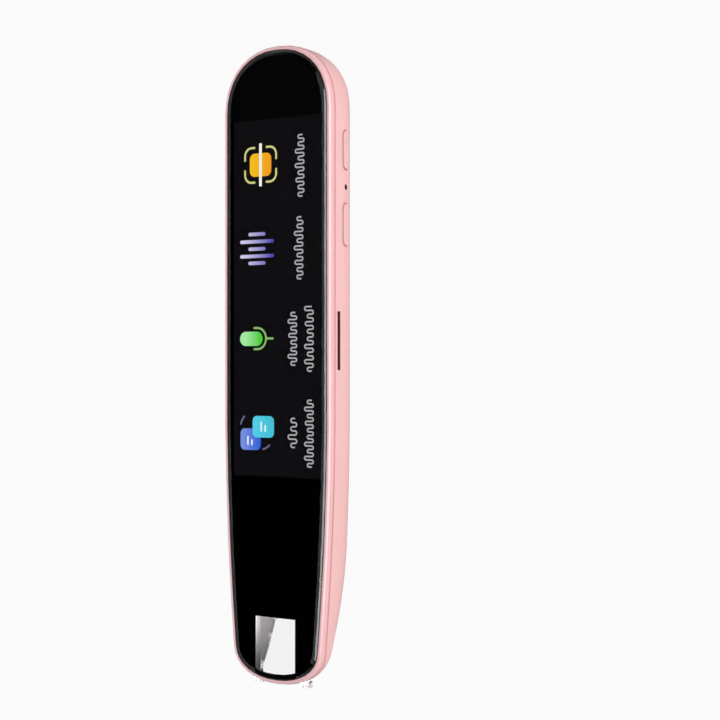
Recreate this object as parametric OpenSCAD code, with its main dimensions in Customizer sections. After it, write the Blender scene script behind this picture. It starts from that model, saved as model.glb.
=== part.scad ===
// Handheld scanning translator: a slim pen-shaped case with a glass front, a scan chamber at
// its tip, two side keys and a speaker in the back.
// The pen lies on its back: X across, +Y to the top end, +Z out of the screen. Millimetres.
// The tip is at -Y. z = 0 is the flat face of the speaker cover. A depth is measured down
// from the glass face.

/* [Case] */
// Length from tip to top end
body_len = 150; // [146:1:156]
// Width at the parting line
body_w = 31.6; // [31:0.1:34]
// Thickness from the glass face to the back, without the speaker cover
body_t = 14.6; // [14.2:0.1:17]
// Wall of the rear shell
wall = 1.2; // [1:0.1:1.4]
// Depth of the parting line between the front frame and the rear shell
split_depth = 2.2; // [2:0.1:2.4]
// Roundness of the back in cross-section (2 is an ellipse, more is squarer)
back_power = 3; // [2.8:0.1:3.4]
// Roundness of the two ends in plan
end_power = 2.2; // [2:0.1:2.5]
// Length of the rounded top end
top_end_len = 15.5; // [13:0.5:18]
// Length of the rounded tip end
tip_end_len = 8; // [7:0.5:9]
// Distance from the tip at which the sides start to narrow
taper_start = 63; // [60:1:66]
// How much each side has narrowed by at the tip
taper_w = 3.45; // [3:0.05:3.6]
// Shape of the narrowing (1 is straight, 2 is a parabola)
taper_power = 1.8; // [1.6:0.05:2]
// Distance from the tip at which the back starts to rise
rise_start = 35; // [33:1:38]
// Radius of the back where it rises to the tip
rise_r = 60; // [58:1:70]
// How far the back rounds over at the top end
top_round = 13; // [11:0.5:14]
// How far the back rounds over at the tip
tip_round = 3; // [2.5:0.1:4]

/* [Glass and frame] */
// Thickness of the cover glass
glass_t = 1; // [0.8:0.1:1.2]
// Distance from the outline of the case to the edge of the glass
glass_inset = 1; // [0.9:0.05:1.1]
// Width of the glass bevel
bevel_w = 1; // [0.6:0.1:1.5]
// Drop of the glass bevel at the edge
bevel_drop = 0.4; // [0.2:0.05:0.5]
// Height of the glass face above the rim of the frame
rim_drop = 0.35; // [0.2:0.05:0.5]
// Width of the rubber seal round the glass
seal_w = 0.3; // [0.2:0.05:0.4]
// Width of the groove along the parting line
seam = 0.2; // [0.1:0.05:0.25]
// Width of the scan window
window_w = 11.6; // [9:0.1:12.5]
// Distance from the tip to the upper edge of the scan window
window_top = 15.7; // [15:0.1:16]
// Distance from the tip to the lower edge of the scan window
window_bottom = 2.5; // [2.3:0.1:3]

/* [Display] */
// Distance from the side of the case to the display module
display_side = 2.6; // [2.4:0.1:3.3]
// Distance from the top end to the display module
display_top = 14.8; // [14:0.1:16]
// Distance from the tip to the display module
display_bottom = 46.2; // [43.5:0.1:55]
// Thickness of the display cell
display_cell_t = 0.7; // [0.6:0.1:0.8]
// Thickness of the backlight and its tray
backlight_t = 0.8; // [0.7:0.1:0.8]

/* [Scan chamber and nib] */
// Width of the notch in the back
notch_w = 15; // [14.4:0.1:15.6]
// Length of the notch from the tip
notch_len = 17; // [16.6:0.1:17.4]
// Corner radius of the notch
notch_r = 2.5; // [1:0.1:3]
// Clearance between the nib and its chamber
nib_gap = 0.18; // [0.15:0.01:0.22]
// Wall of the clear nib
nib_wall = 1; // [0.8:0.05:1.1]
// Height of the crossbar of the nib
nib_bar = 2.5; // [2:0.1:2.8]
// Travel of the nib
nib_travel = 0.5; // [0.4:0.05:0.9]
// How far the nib's feet stand out past the tip
nib_out = 0.3; // [0.2:0.05:0.6]
// Diameter of the nib's two guide pins
nib_pin_d = 1.6; // [1.4:0.1:1.8]
// Wire diameter of the nib springs
spring_wire = 0.3; // [0.25:0.01:0.35]

/* [Side keys] */
// Distance from the top end to the middle of the power key
power_at = 25.1; // [23:0.1:25.4]
// Length of the power key
power_len = 8.8; // [7.6:0.1:9.2]
// Distance from the top end to the middle of the function key
function_at = 42.4; // [42:0.1:44]
// Length of the function key
function_len = 9.7; // [8:0.1:10.2]
// Width of both keys
key_w = 2.4; // [2.2:0.1:2.6]
// Depth of the keys' middle line
key_depth = 6.7; // [6.6:0.05:6.8]
// How far the keys stand out of the case
key_proud = 0.2; // [0.1:0.05:0.4]
// Travel of the keys
key_travel = 0.3; // [0.2:0.05:0.35]
// Clearance round each key
key_gap = 0.15; // [0.12:0.01:0.2]

/* [Side openings] */
// Distance from the top end to the microphone hole
mic_at = 33.7; // [33.4:0.1:34]
// Diameter of the microphone hole
mic_d = 1.3; // [0.8:0.1:1.6]
// Distance from the top end to the middle of the card slot
card_at = 69.4; // [67:0.1:72]
// Length of the card slot
card_slot_len = 13.4; // [12:0.1:14]
// Width of the card slot
card_slot_w = 1; // [0.9:0.05:1.1]

/* [Speaker cover] */
// Length of the oval cover
pad_len = 33.9; // [30:0.1:36]
// Width of the oval cover
pad_w = 18.1; // [17.6:0.1:19]
// How far the cover stands out of the back
pad_h = 0.6; // [0.4:0.1:0.8]
// Distance from the top end to the middle of the cover
pad_at = 28.1; // [26.5:0.1:30]
// Depth of the cover's seat below the back of the case
pad_seat = 1; // [0.9:0.1:1.1]
// Distance from the top end to the middle of the grille
grille_at = 20.9; // [20.4:0.1:22]
// Length of one grille slot
slot_len = 6.5; // [5.4:0.1:6.7]
// Width of one grille slot
slot_w = 0.95; // [0.7:0.05:1]
// Pitch of the three slots of a group
slot_pitch = 2; // [1.8:0.05:2.1]

/* [Inside] */
// Thickness of the main board
board_t = 0.8; // [0.7:0.1:0.9]
// Height of the card socket, which sets the board's place behind the display
card_socket_h = 1.3; // [1.2:0.1:1.4]
// Distance from the top end to the battery
battery_end = 59; // [57:1:79]
// Width of the battery
battery_w = 20; // [14:0.5:21]
// Thickness of the battery
battery_t = 5; // [3:0.1:5.5]
// Diameter of the speaker
speaker_d = 14.4; // [12:0.1:15]
// Height of the speaker
speaker_h = 3; // [2.5:0.1:3.4]

/* [Hidden] */

// Fits
fit_gap = 0.06;             // glued or seated faces
open_gap = 0.15;            // loose parts beside each other
eps = 0.01;                 // overlap of joined solids
cut = 1;                    // overrun of a cut past a face

// Resolution of the faceted case
end_steps = 9;
side_steps = 8;
rise_steps = 9;
tip_steps = 8;
arc_steps = 9;

// Driving levels
half_w = body_w / 2;
y_top = body_len / 2;
y_tip = -body_len / 2;
z_face = pad_h + body_t;
z_split = z_face - split_depth;
z_back = pad_h;

// Places along the pen, from the tip up
notch_y = y_tip + notch_len;
bar_y = notch_y - nib_gap;              // upper face of the nib's crossbar
bulkhead_y = bar_y + nib_travel + nib_gap;
bulkhead_t = 1.2;
bulkhead_top = bulkhead_y + bulkhead_t;
camera_len = 5;
camera_gap = 2.3;
board_y_low = bulkhead_top + camera_len + camera_gap;
rod_end = board_y_low - 0.9;
nib_switch_size = [4, 3, 1.5];
nib_switch_y = rod_end + 1.6;
battery_clear = 1.3;
battery_y_low = nib_switch_y + nib_switch_size[1] + battery_clear;
battery_y_top = y_top - battery_end;
display_y_low = y_tip + display_bottom;
display_y_top = y_top - display_top;
power_y = y_top - power_at;
function_y = y_top - function_at;

pink = "#F4B9BA";
black = "#0B0A0C";
clear = [0.92, 0.95, 0.97, 0.35];
board_green = "#1F5A3C";
metal = "#B9BBBE";
chip_black = "#202124";

// ---- Outline of the case ----

// Narrowing of one side at y
function taper(y) =
    taper_w * pow(max(0, y_tip + taper_start - y) / taper_start, taper_power);

// Share of the width left at a share t of the way along a rounded end
function end_share(t) = pow(max(0, 1 - pow(t, end_power)), 1 / end_power);

// Shares of the way along a rounded end, closer together near the tip of the arc
function end_shares(steps) = [for (i = [0 : steps]) pow(cos(90 * i / steps), 2 / end_power)];

// Even steps down one side between two places, without the last
function side_run(y_high, y_low, steps) = [for (i = [0 : steps - 1])
    let (y = y_high + (y_low - y_high) * i / steps)
    [half_w - taper(y), y]];

// Right half of the outline, from the top end to the tip, finer where the back rises
function half_outline() = concat(
    [for (i = [0 : end_steps - 1])
        let (t = end_shares(end_steps)[i])
        [half_w * end_share(t), y_top - top_end_len * (1 - t)]],
    side_run(y_top - top_end_len, y_tip + rise_start, side_steps),
    side_run(y_tip + rise_start, y_tip + tip_end_len, rise_steps),
    [for (i = [0 : tip_steps])
        let (t = pow(sin(90 * i / tip_steps), 2 / end_power),
            y = y_tip + tip_end_len * (1 - t))
        [(half_w - taper(y)) * end_share(t), y]]
);

rim = half_outline();
stations = len(rim) - 1;

// A point of the outline, carried on past both ends by mirroring
function rim_at(i) =
    i < 0 ? [-rim[-i][0], rim[-i][1]]
    : i > stations ? [-rim[2 * stations - i][0], rim[2 * stations - i][1]]
    : rim[i];

// Outward normal of the outline
function rim_normal(i) =
    let (v = rim_at(i + 1) - rim_at(i - 1))
    [-v[1], v[0]] / norm(v);

// The outline moved inward
function inset_at(i, inset) = rim[i] - inset * rim_normal(i);

// Whole outline, counterclockwise from the top end by way of the left side
function outline(inset) = concat(
    [for (i = [0 : stations]) let (p = inset_at(i, inset)) [-p[0], p[1]]],
    [for (i = [stations - 1 : -1 : 1]) inset_at(i, inset)]
);

// ---- Back of the case ----

// Depth of the back at y
function back_depth(y) =
    let (run = max(0, y_tip + rise_start - y))
    body_t - (rise_r - sqrt(rise_r * rise_r - run * run));

// Height at x, y of the outer skin above z = 0, or of the skin moved inward
function skin_z(x, y, inset = 0) =
    let (end = max(0, y_tip + tip_end_len - y) / tip_end_len,
        reach = (half_w - taper(y)) * end_share(end) - inset)
    z_split - (back_depth(y) - inset - split_depth)
        * pow(max(0, 1 - pow(abs(x) / reach, back_power)), 1 / back_power);

// Half width of the skin at a depth, on the straight part of the case
function skin_x(depth, inset = 0) =
    (half_w - inset) * pow(max(0, 1 - pow(max(0, depth - split_depth)
        / (body_t - inset - split_depth), back_power)), 1 / back_power);

// Row of skin points across the back at one station, from the right rim to the left rim
function skin_row(i, inset) =
    let (p = inset_at(i, inset), lean = rim_normal(i)[1],
        over = lean > 0 ? top_round : tip_round)
    [for (k = [0 : 2 * arc_steps])
        let (a = 90 * k / arc_steps,
            c = pow(abs(cos(a)), 2 / back_power) * (k > arc_steps ? -1 : 1),
            s = pow(sin(a), 2 / back_power),
            y = p[1] - lean * over * (1 - abs(c)))
        [p[0] * c, y, z_split - (back_depth(y) - inset - split_depth) * s]];

row_len = 2 * arc_steps + 1;
function skin_points(inset) = [for (i = [0 : stations]) each skin_row(i, inset)];

// Quads of the skin lattice, seen from outside, with an offset into the point list
function skin_faces(start) = [
    for (i = [0 : stations - 1], k = [0 : row_len - 2], side = [0, 1])
        let (a = start + i * row_len + k, b = a + row_len)
        side == 0 ? [a, a + 1, b] : [a + 1, b + 1, b]
];

// Cross-section of the back at y, moved inward and closed at the parting line
function section(y, inset) =
    let (reach = half_w - taper(y) - inset, deep = back_depth(y) - inset - split_depth)
    [for (k = [0 : 2 * arc_steps])
        let (a = 90 * k / arc_steps,
            c = pow(abs(cos(a)), 2 / back_power) * (k > arc_steps ? -1 : 1),
            s = pow(sin(a), 2 / back_power))
        [reach * c, z_split - deep * s]];

// Plate across the inside of the back, its edge buried in the wall
module cross_plate(y, thickness) {
    translate([0, y + thickness, 0]) rotate([90, 0, 0])
        linear_extrude(thickness) polygon(section(y, wall / 2));
}

// Bowl of the rear shell: outer skin, inner skin and flat rim
module back_bowl() {
    last = row_len - 1;
    inner = (stations + 1) * row_len;
    function rim_strip(k) = [
        for (i = [0 : stations - 1])
            let (a = i * row_len + k, b = a + row_len, c = a + inner, d = b + inner)
            each k == 0 ? [[a, b, c], [c, b, d]] : [[a, c, b], [c, d, b]]
    ];
    polyhedron(
        points = concat(skin_points(0), skin_points(wall)),
        faces = concat(
            skin_faces(0),
            [for (f = skin_faces(inner)) [f[2], f[1], f[0]]],
            rim_strip(0),
            rim_strip(last)
        )
    );
}

// Solid between stacked copies of the outline: levels is a list of [inset, z], rising
module outline_stack(levels) {
    n = 2 * stations;
    points = [for (l = levels) for (p = outline(l[0])) [p[0], p[1], l[1]]];
    polyhedron(
        points = points,
        faces = concat(
            [[for (j = [0 : n - 1]) j]],
            [for (l = [0 : len(levels) - 2], j = [0 : n - 1], side = [0, 1])
                let (a = l * n + j, b = l * n + (j + 1) % n)
                side == 0 ? [b, a, a + n] : [b, a + n, b + n]],
            [[for (j = [n - 1 : -1 : 0]) (len(levels) - 1) * n + j]]
        )
    );
}

// Straight prism of the outline between two heights
module outline_prism(inset, z_low, z_high) {
    translate([0, 0, z_low]) linear_extrude(z_high - z_low) polygon(outline(inset));
}

// ---- Small shared shapes ----

// Box between two corners
module block(low, high) {
    translate(low) cube(high - low);
}

// Stadium of a length and width, its long side along Y
module stadium(length, width) {
    run = (length - width) / 2;
    for (side = [-1, 1]) translate([0, side * run]) circle(d = width, $fn = 40);
    square([width, 2 * run], center = true);
}

// Stadium with its long side along X
module stadium_x(length, width) {
    rotate(90) stadium(length, width);
}

// Stadium prism pointing along +X, centred on y and z
module side_stadium(x_low, x_high, y, z, length, width) {
    translate([x_low, y, z]) rotate([90, 0, 90])
        linear_extrude(x_high - x_low) stadium_x(length, width);
}

// Rectangle with round corners, built from exact arcs
module round_rect(size, r) {
    square([size[0] - 2 * r, size[1]], center = true);
    square([size[0], size[1] - 2 * r], center = true);
    for (x = [-1, 1], y = [-1, 1])
        translate([x * (size[0] / 2 - r), y * (size[1] / 2 - r)]) circle(r = r, $fn = 32);
}

// ---- Front ----

glass_low = z_face - glass_t;
print_t = 0.04;
tape_t = 0.1;
frame_seat = glass_low - print_t - tape_t;      // face that carries the glass
window_x = window_w / 2;
glass_edge = glass_inset + seal_w;

// Plan of the scan window: straight sides and top, and a lower edge that follows the tip
module window_plan(inset, grow) {
    intersection() {
        polygon(outline(inset - grow));
        translate([-window_x - grow, y_tip])
            square([2 * (window_x + grow), window_top + grow]);
    }
}

module front_glass() {
    color(black) difference() {
        outline_stack([
            [glass_edge, glass_low],
            [glass_edge, z_face - bevel_drop],
            [glass_edge + bevel_w / 3, z_face - bevel_drop * 0.4],
            [glass_edge + bevel_w, z_face]
        ]);
        translate([0, 0, glass_low - cut]) linear_extrude(glass_t + 2 * cut)
            window_plan(window_bottom, fit_gap);
    }
}

// Black print under the glass, open over the lit part of the display and the window
seal_h = 0.75;
view_edge = 0.3;
view_top = 2.3;
view_bottom = 2.5;

module glass_print() {
    view_x = body_w / 2 - display_side - view_edge;
    color(black) translate([0, 0, glass_low - print_t]) linear_extrude(print_t) difference() {
        polygon(outline(glass_edge));
        translate([-view_x, display_y_low + view_bottom])
            square([2 * view_x, display_y_top - view_top - display_y_low - view_bottom]);
        window_plan(window_bottom, fit_gap);
    }
}

// Rubber ring between the edge of the glass and the rim
module glass_seal() {
    color(chip_black) translate([0, 0, frame_seat]) linear_extrude(seal_h) difference() {
        polygon(outline(glass_inset));
        polygon(outline(glass_edge));
    }
}

module scan_window() {
    color(clear) translate([0, 0, glass_low]) linear_extrude(glass_t)
        window_plan(window_bottom, 0);
}

cell_low = glass_low - fit_gap - display_cell_t;
tray_low = cell_low - backlight_t;
display_gap = 0.12;
chamber_lip = window_bottom - 0.6;      // inset of the frame's opening at the tip

module display_plan(grow) {
    translate([0, (display_y_top + display_y_low) / 2])
        square([body_w - 2 * display_side + 2 * grow,
            display_y_top - display_y_low + 2 * grow], center = true);
}

// Pressure-sensitive tape between the glass and the frame
module glass_tape() {
    color(chip_black) translate([0, 0, frame_seat]) linear_extrude(tape_t) difference() {
        polygon(outline(glass_edge + fit_gap));
        display_plan(display_gap);
        window_plan(chamber_lip, 2 * fit_gap);
    }
}

// Front frame: rim round the glass, the plate behind it, screw bosses and clip tongues
rim_round = 0.55;
rim_levels = 5;
tongue_t = 0.8;
tongue_len = 5;
tongue_h = 1.7;
clip_gap = 9;
catch_size = [0.5, 2.4, 0.5];
z_catch = z_split - 1.1;

function wall_x(y) = half_w - taper(y) - wall;

// Tongue of a clip on the +X side, with a window for the catch
module tongue(y) {
    x = wall_x(y - tongue_len / 2) - open_gap;
    difference() {
        block([x - tongue_t, y - tongue_len / 2, z_split - tongue_h],
            [x, y + tongue_len / 2, z_split + eps]);
        block([x - tongue_t - cut, y - catch_size[1] / 2 - open_gap, z_catch - open_gap],
            [x + cut, y + catch_size[1] / 2 + open_gap, z_catch + catch_size[2] + open_gap]);
    }
}

// Catch on the +X wall of the rear shell, which snaps into a tongue's window
module catch(y) {
    x = wall_x(y);
    block([x - catch_size[0], y - catch_size[1] / 2, z_catch],
        [x + wall / 2, y + catch_size[1] / 2, z_catch + catch_size[2]]);
}

module front_frame() {
    rim_top = z_face - rim_drop;
    color(pink) {
        difference() {
            outline_stack(concat(
                [[seam, z_split], [seam, z_split + seam / 2], [0, z_split + 1.5 * seam]],
                [for (i = [1 : rim_levels])
                    let (a = 90 * i / rim_levels)
                    [rim_round * (1 - cos(a)),
                        z_split + 1.5 * seam + (rim_top - z_split - 1.5 * seam) * sin(a)]]
            ));
            outline_prism(glass_inset, frame_seat, z_face + cut);
            translate([0, 0, z_split - cut]) linear_extrude(split_depth + cut) {
                display_plan(display_gap);
                window_plan(chamber_lip, 0);
            }
        }
        for (at = screw_places) translate([at[0], at[1], board_top]) difference() {
            cylinder(d = boss_d, h = z_split - board_top + eps, $fn = 40);
            translate([0, 0, -cut])
                cylinder(d = screw_d, h = cut + z_split - board_top - screw_floor, $fn = 32);
        }
        for (side = [0, 1], y = tongue_places) mirror([side, 0, 0]) tongue(y);
    }
}

module display_cell() {
    color(black) translate([0, 0, cell_low]) linear_extrude(display_cell_t)
        display_plan(0);
}

// Metal tray of the backlight, with a recess for the flat cable
module display_backlight() {
    color(metal) difference() {
        translate([0, 0, tray_low]) linear_extrude(backlight_t) display_plan(0);
        block([-cable_w / 2 - open_gap, display_y_low - cut, tray_low - cut],
            [cable_w / 2 + open_gap, display_y_low + cable_recess, tray_low + cable_t]);
    }
}

// Flat cable from the display down to its plug on the board
cable_w = 9;
cable_t = 0.15;
cable_recess = 3;
cable_len = 9;
cable_plug = [11, 3];

module display_cable() {
    y_low = display_y_low - cable_len;
    color("#C8781E") {
        block([-cable_w / 2, y_low, tray_low],
            [cable_w / 2, display_y_low + cable_recess - open_gap, tray_low + cable_t]);
        block([-cable_plug[0] / 2, y_low, board_top],
            [cable_plug[0] / 2, y_low + cable_plug[1], tray_low + eps]);
    }
}

// ---- Main board ----

board_drop = 0.45;                      // from the backlight to the card socket
board_top = tray_low - board_drop - card_socket_h;
board_low = board_top - board_t;
board_inset = wall + 1.2;
screw_d = 1.4;
screw_head_d = 2.4;
screw_head_h = 0.8;
screw_floor = 0.3;
boss_d = 2.8;
screw_places = [for (y = [y_top - 8.2, display_y_low - 6], side = [-1, 1])
    [side * (y > 0 ? half_w - 7 : half_w - 5), y]];

module main_board() {
    color(board_green) difference() {
        translate([0, 0, board_low]) linear_extrude(board_t) intersection() {
            polygon(outline(board_inset));
            translate([-half_w, board_y_low]) square([body_w, body_len]);
        }
        for (at = screw_places) translate([at[0], at[1], board_low - cut])
            cylinder(d = screw_d + 2 * open_gap, h = board_t + 2 * cut, $fn = 32);
    }
}

// Four equal screws, from the back of the board into the frame's bosses
module board_screws() {
    recess = 0.4;
    color(metal) for (at = screw_places) translate([at[0], at[1], board_low]) difference() {
        union() {
            translate([0, 0, -screw_head_h])
                cylinder(d = screw_head_d, h = screw_head_h, $fn = 40);
            translate([0, 0, -eps])
                cylinder(d = screw_d - 0.02, h = z_split - screw_floor - 0.2 - board_low,
                    $fn = 32);
        }
        for (turn = [0, 90]) rotate(turn)
            translate([-screw_head_d / 3, -0.15, -screw_head_h - cut])
                cube([screw_head_d * 2 / 3, 0.3, cut + recess]);
    }
}

// Chip on the back of the board: middle in plan, size and height
module chip(at, size) {
    block([at[0] - size[0] / 2, at[1] - size[1] / 2, board_low - size[2]],
        [at[0] + size[0] / 2, at[1] + size[1] / 2, board_low]);
}

// Chips in a row up the board from the battery's plug
chip_x = -4.5;
plug_size = [4.4, 2.6];
plug_y = battery_y_top + plug_size[1];
memory_size = [5.6, 8, 0.8];
memory_gap = 4.1;
memory_y = plug_y + plug_size[1] / 2 + memory_gap + memory_size[1] / 2;
processor_size = [10, 10, 0.9];
processor_gap = 1;
processor_y = memory_y + (memory_size[1] + processor_size[1]) / 2 + processor_gap;
can_size = [13, 12, 1.5];
can_gap = 3;
can_skin = 0.2;
can_y = processor_y + (processor_size[1] + can_size[1]) / 2 + can_gap;

module processor() {
    color(chip_black) chip([chip_x, processor_y], processor_size);
}

module memory_chips() {
    color(chip_black) for (x = [chip_x - 3, chip_x + 3.4])
        chip([x, memory_y], memory_size);
}

// Pressed metal can over the radio circuit
module shield_can() {
    color(metal) difference() {
        chip([chip_x, can_y], can_size);
        translate([0, 0, can_skin]) chip([chip_x, can_y],
            [can_size[0] - 2 * can_skin, can_size[1] - 2 * can_skin, can_size[2]]);
    }
}

// USB-C socket at the top end, on the back of the board
usb_w = 8.94;
usb_h = 3.16;
usb_depth = 7.3;
usb_skin = 0.3;
usb_y = y_top - 1;                      // mouth of the socket
usb_z = board_low - usb_h / 2;
usb_tongue = [6.7, 5, 0.7];

module usb_outline(grow) {
    stadium_x(usb_w + 2 * grow, usb_h + 2 * grow);
}

module usb_c_socket() {
    color(metal) translate([0, usb_y, usb_z]) rotate([90, 0, 0]) {
        difference() {
            linear_extrude(usb_depth) usb_outline(0);
            translate([0, 0, -cut]) linear_extrude(usb_depth - 0.8 + cut)
                usb_outline(-usb_skin);
        }
        translate([-usb_tongue[0] / 2, -usb_tongue[2] / 2, usb_depth - 0.8 - usb_tongue[1]])
            cube([usb_tongue[0], usb_tongue[2], usb_tongue[1] + eps]);
    }
}

// Card socket on the front of the board, its mouth at the slot in the +X side
card_y = y_top - card_at;
card_z = board_top + card_socket_h / 2;
card_socket_w = card_slot_len + 1;
card_socket_depth = 13.4;
card_mouth_x = wall_x(card_y) - 0.4;

module card_socket() {
    skin = 0.2;
    color(metal) difference() {
        block([card_mouth_x - card_socket_depth, card_y - card_socket_w / 2, board_top],
            [card_mouth_x, card_y + card_socket_w / 2, board_top + card_socket_h]);
        block([card_mouth_x - card_socket_depth + 0.8, card_y - card_slot_len / 2 + skin,
                board_top + skin],
            [card_mouth_x + cut, card_y + card_slot_len / 2 - skin,
                board_top + card_socket_h - skin]);
    }
}

// Clips: between the function key and the card slot, below the slot, and near the tip
tongue_places = [
    (function_y - function_len / 2 + card_y + card_socket_w / 2) / 2,
    card_y - card_socket_w / 2 - clip_gap,
    board_y_low + clip_gap - tongue_len / 2
];

// ---- Side keys ----

z_key = z_face - key_depth;
flange_half = board_low - z_key - open_gap;
flange_x = skin_x(key_depth + flange_half, wall) - open_gap;
flange_t = 0.8;
flange_run = 1;                         // flange past each end of the key
stub_d = 2;
stub_len = 0.5;
plunger_d = 1.6;
plunger_len = 1.4;
plunger_bite = 0.7;                     // plunger inside its switch at rest
switch_size = [3.2, 4.6];
plunger_x = flange_x - flange_t - stub_len;
switch_x = plunger_x - plunger_len + plunger_bite;

// Key in its own place at y = 0: cap that follows the case, flange and stub
module key(length) {
    face_steps = 6;
    reach = key_w / 2 + 0.1;
    intersection() {
        side_stadium(flange_x - eps, half_w + 2, 0, z_key, length, key_w);
        rotate([90, 0, 0]) translate([0, 0, -length]) linear_extrude(2 * length)
            polygon(concat(
                [[flange_x - cut, z_key + reach], [flange_x - cut, z_key - reach]],
                [for (i = [0 : face_steps])
                    let (depth = key_depth + reach - 2 * reach * i / face_steps)
                    [skin_x(depth) + key_proud, z_face - depth]]
            ));
    }
    block([flange_x - flange_t, -length / 2 - flange_run, z_key - flange_half],
        [flange_x, length / 2 + flange_run, z_key + flange_half]);
    translate([plunger_x, 0, z_key]) rotate([0, 90, 0])
        cylinder(d = stub_d, h = stub_len + eps, $fn = 40);
}

module key_switch() {
    hole_depth = plunger_bite + key_travel + 0.2;
    difference() {
        block([switch_x - switch_size[0], -switch_size[1] / 2, 2 * z_key - board_low],
            [switch_x, switch_size[1] / 2, board_low]);
        translate([switch_x - hole_depth, 0, z_key]) rotate([0, 90, 0])
            cylinder(d = plunger_d + 0.1, h = hole_depth + cut, $fn = 40);
    }
}

module key_plunger() {
    translate([plunger_x - plunger_len, 0, z_key]) rotate([0, 90, 0])
        cylinder(d = plunger_d, h = plunger_len, $fn = 40);
}

module power_key() { color(pink) translate([0, power_y, 0]) key(power_len); }
module function_key() { color(pink) translate([0, function_y, 0]) key(function_len); }
module power_switch() { color(metal) translate([0, power_y, 0]) key_switch(); }
module function_switch() { color(metal) translate([0, function_y, 0]) key_switch(); }
module power_switch_plunger() { color(black) translate([0, power_y, 0]) key_plunger(); }
module function_switch_plunger() { color(black) translate([0, function_y, 0]) key_plunger(); }

// ---- Microphone ----

mic_y = y_top - mic_at;
mic_size = [3, 2.6, 1.1];
boot_w = 4;
boot_port_d = 0.9;
port_z = z_key - 0.1;
boot_low = port_z - 1;
boot_face_x = skin_x(z_face - boot_low, wall) - fit_gap;
mic_x = boot_face_x - 4.45;

module microphone() {
    color(metal) chip([mic_x, mic_y], mic_size);
}

// Rubber boot that leads sound from the hole in the side to the microphone
module microphone_boot() {
    color(chip_black) difference() {
        block([mic_x - mic_size[0] / 2 - 0.4, mic_y - boot_w / 2, boot_low],
            [boot_face_x, mic_y + boot_w / 2, board_low - eps]);
        block([mic_x - mic_size[0] / 2, mic_y - mic_size[1] / 2, board_low - mic_size[2]],
            [mic_x + mic_size[0] / 2, mic_y + mic_size[1] / 2, board_low + cut]);
        translate([mic_x, mic_y, port_z]) rotate([0, 90, 0])
            cylinder(d = boot_port_d, h = boot_face_x, $fn = 32);
        translate([mic_x, mic_y, port_z])
            cylinder(d = boot_port_d, h = mic_size[2] + 1, $fn = 32);
    }
}

// ---- Speaker and its cover ----

pad_y = y_top - pad_at;
grille_y = y_top - grille_at;
seat_z = z_back + pad_seat;
pad_floor_t = 1.2;
floor_z = seat_z + pad_floor_t;
pad_chamfer = 0.35;
pad_power = 2.3;
pad_points = 72;
sound_d = speaker_d - 1.4;
mesh_t = 0.2;
gasket_t = 0.4;

// Oval of the cover, grown or shrunk in width and in length
function oval(grow_w, grow_len) = [for (i = [0 : pad_points - 1])
    let (a = 360 * i / pad_points, c = cos(a), s = sin(a))
    [(pad_w / 2 + grow_w) * sign(c) * pow(abs(c), 2 / pad_power),
        pad_y + (pad_len / 2 + grow_len) * sign(s) * pow(abs(s), 2 / pad_power)]];

// Nine slots in three groups of parallel slots, turned round the middle of the grille
group_r = 3.8;
grille_turn = -4;
group_lean = -60;
slot_skew = 1.2;

module grille_slots() {
    mirror([1, 0, 0]) translate([0, grille_y])
        for (group = [0 : 2], row = [-1 : 1])
            rotate(120 * group + grille_turn) translate([group_r, 0]) rotate(group_lean)
                translate([row * slot_skew, -row * slot_pitch]) stadium_x(slot_len, slot_w);
}

module speaker_cover() {
    color(pink) difference() {
        union() {
            translate([0, 0, pad_chamfer]) linear_extrude(seat_z - pad_chamfer)
                polygon(oval(0, 0));
            hull() {
                translate([0, 0, pad_chamfer]) linear_extrude(eps) polygon(oval(0, 0));
                linear_extrude(eps) polygon(oval(-pad_chamfer, -pad_chamfer));
            }
        }
        translate([0, 0, -cut]) linear_extrude(seat_z + 2 * cut) grille_slots();
    }
}

module speaker_mesh() {
    color(chip_black) translate([0, grille_y, seat_z])
        cylinder(d = speaker_d + 0.6, h = mesh_t, $fn = 64);
}

module speaker_gasket() {
    color(chip_black) translate([0, grille_y, floor_z]) difference() {
        cylinder(d = speaker_d + 0.8, h = gasket_t, $fn = 64);
        translate([0, 0, -cut]) cylinder(d = sound_d, h = gasket_t + 2 * cut, $fn = 64);
    }
}

// Speaker: can, magnet at the board side and a dished cone that faces the grille
module speaker() {
    r = speaker_d / 2;
    lip = 0.9;
    color(chip_black) translate([0, grille_y, floor_z + gasket_t]) rotate_extrude($fn = 64)
        polygon([[0, 0.9], [1.6, 0.5], [r - lip - 0.6, 0.2], [r - lip, 0], [r, 0],
            [r, speaker_h * 0.6], [r * 0.62, speaker_h * 0.6], [r * 0.62, speaker_h],
            [0, speaker_h]]);
}

// ---- Battery ----

battery_gap = screw_head_h + 0.2;
battery_top = board_low - battery_gap;
battery_fold = 1.6;
battery_ribs = [for (i = [0 : 3])
    battery_y_low + 4 + i * (battery_y_top - battery_y_low - 10) / 3];

module battery() {
    color("#C9CDD2") {
        block([-battery_w / 2, battery_y_low, battery_top - battery_t],
            [battery_w / 2, battery_y_top - battery_fold, battery_top]);
        block([-battery_w / 2 + 1, battery_y_top - battery_fold - eps,
                battery_top - battery_t * 0.7],
            [battery_w / 2 - 1, battery_y_top, battery_top - battery_t * 0.3]);
    }
}

module battery_tape() {
    strip_w = 3;
    strip_end = 12;
    color("#E8E4D8") for (x = [-6, 3])
        block([x, battery_y_low + strip_end, battery_top],
            [x + strip_w, battery_y_top - strip_end, board_low]);
}

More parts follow.
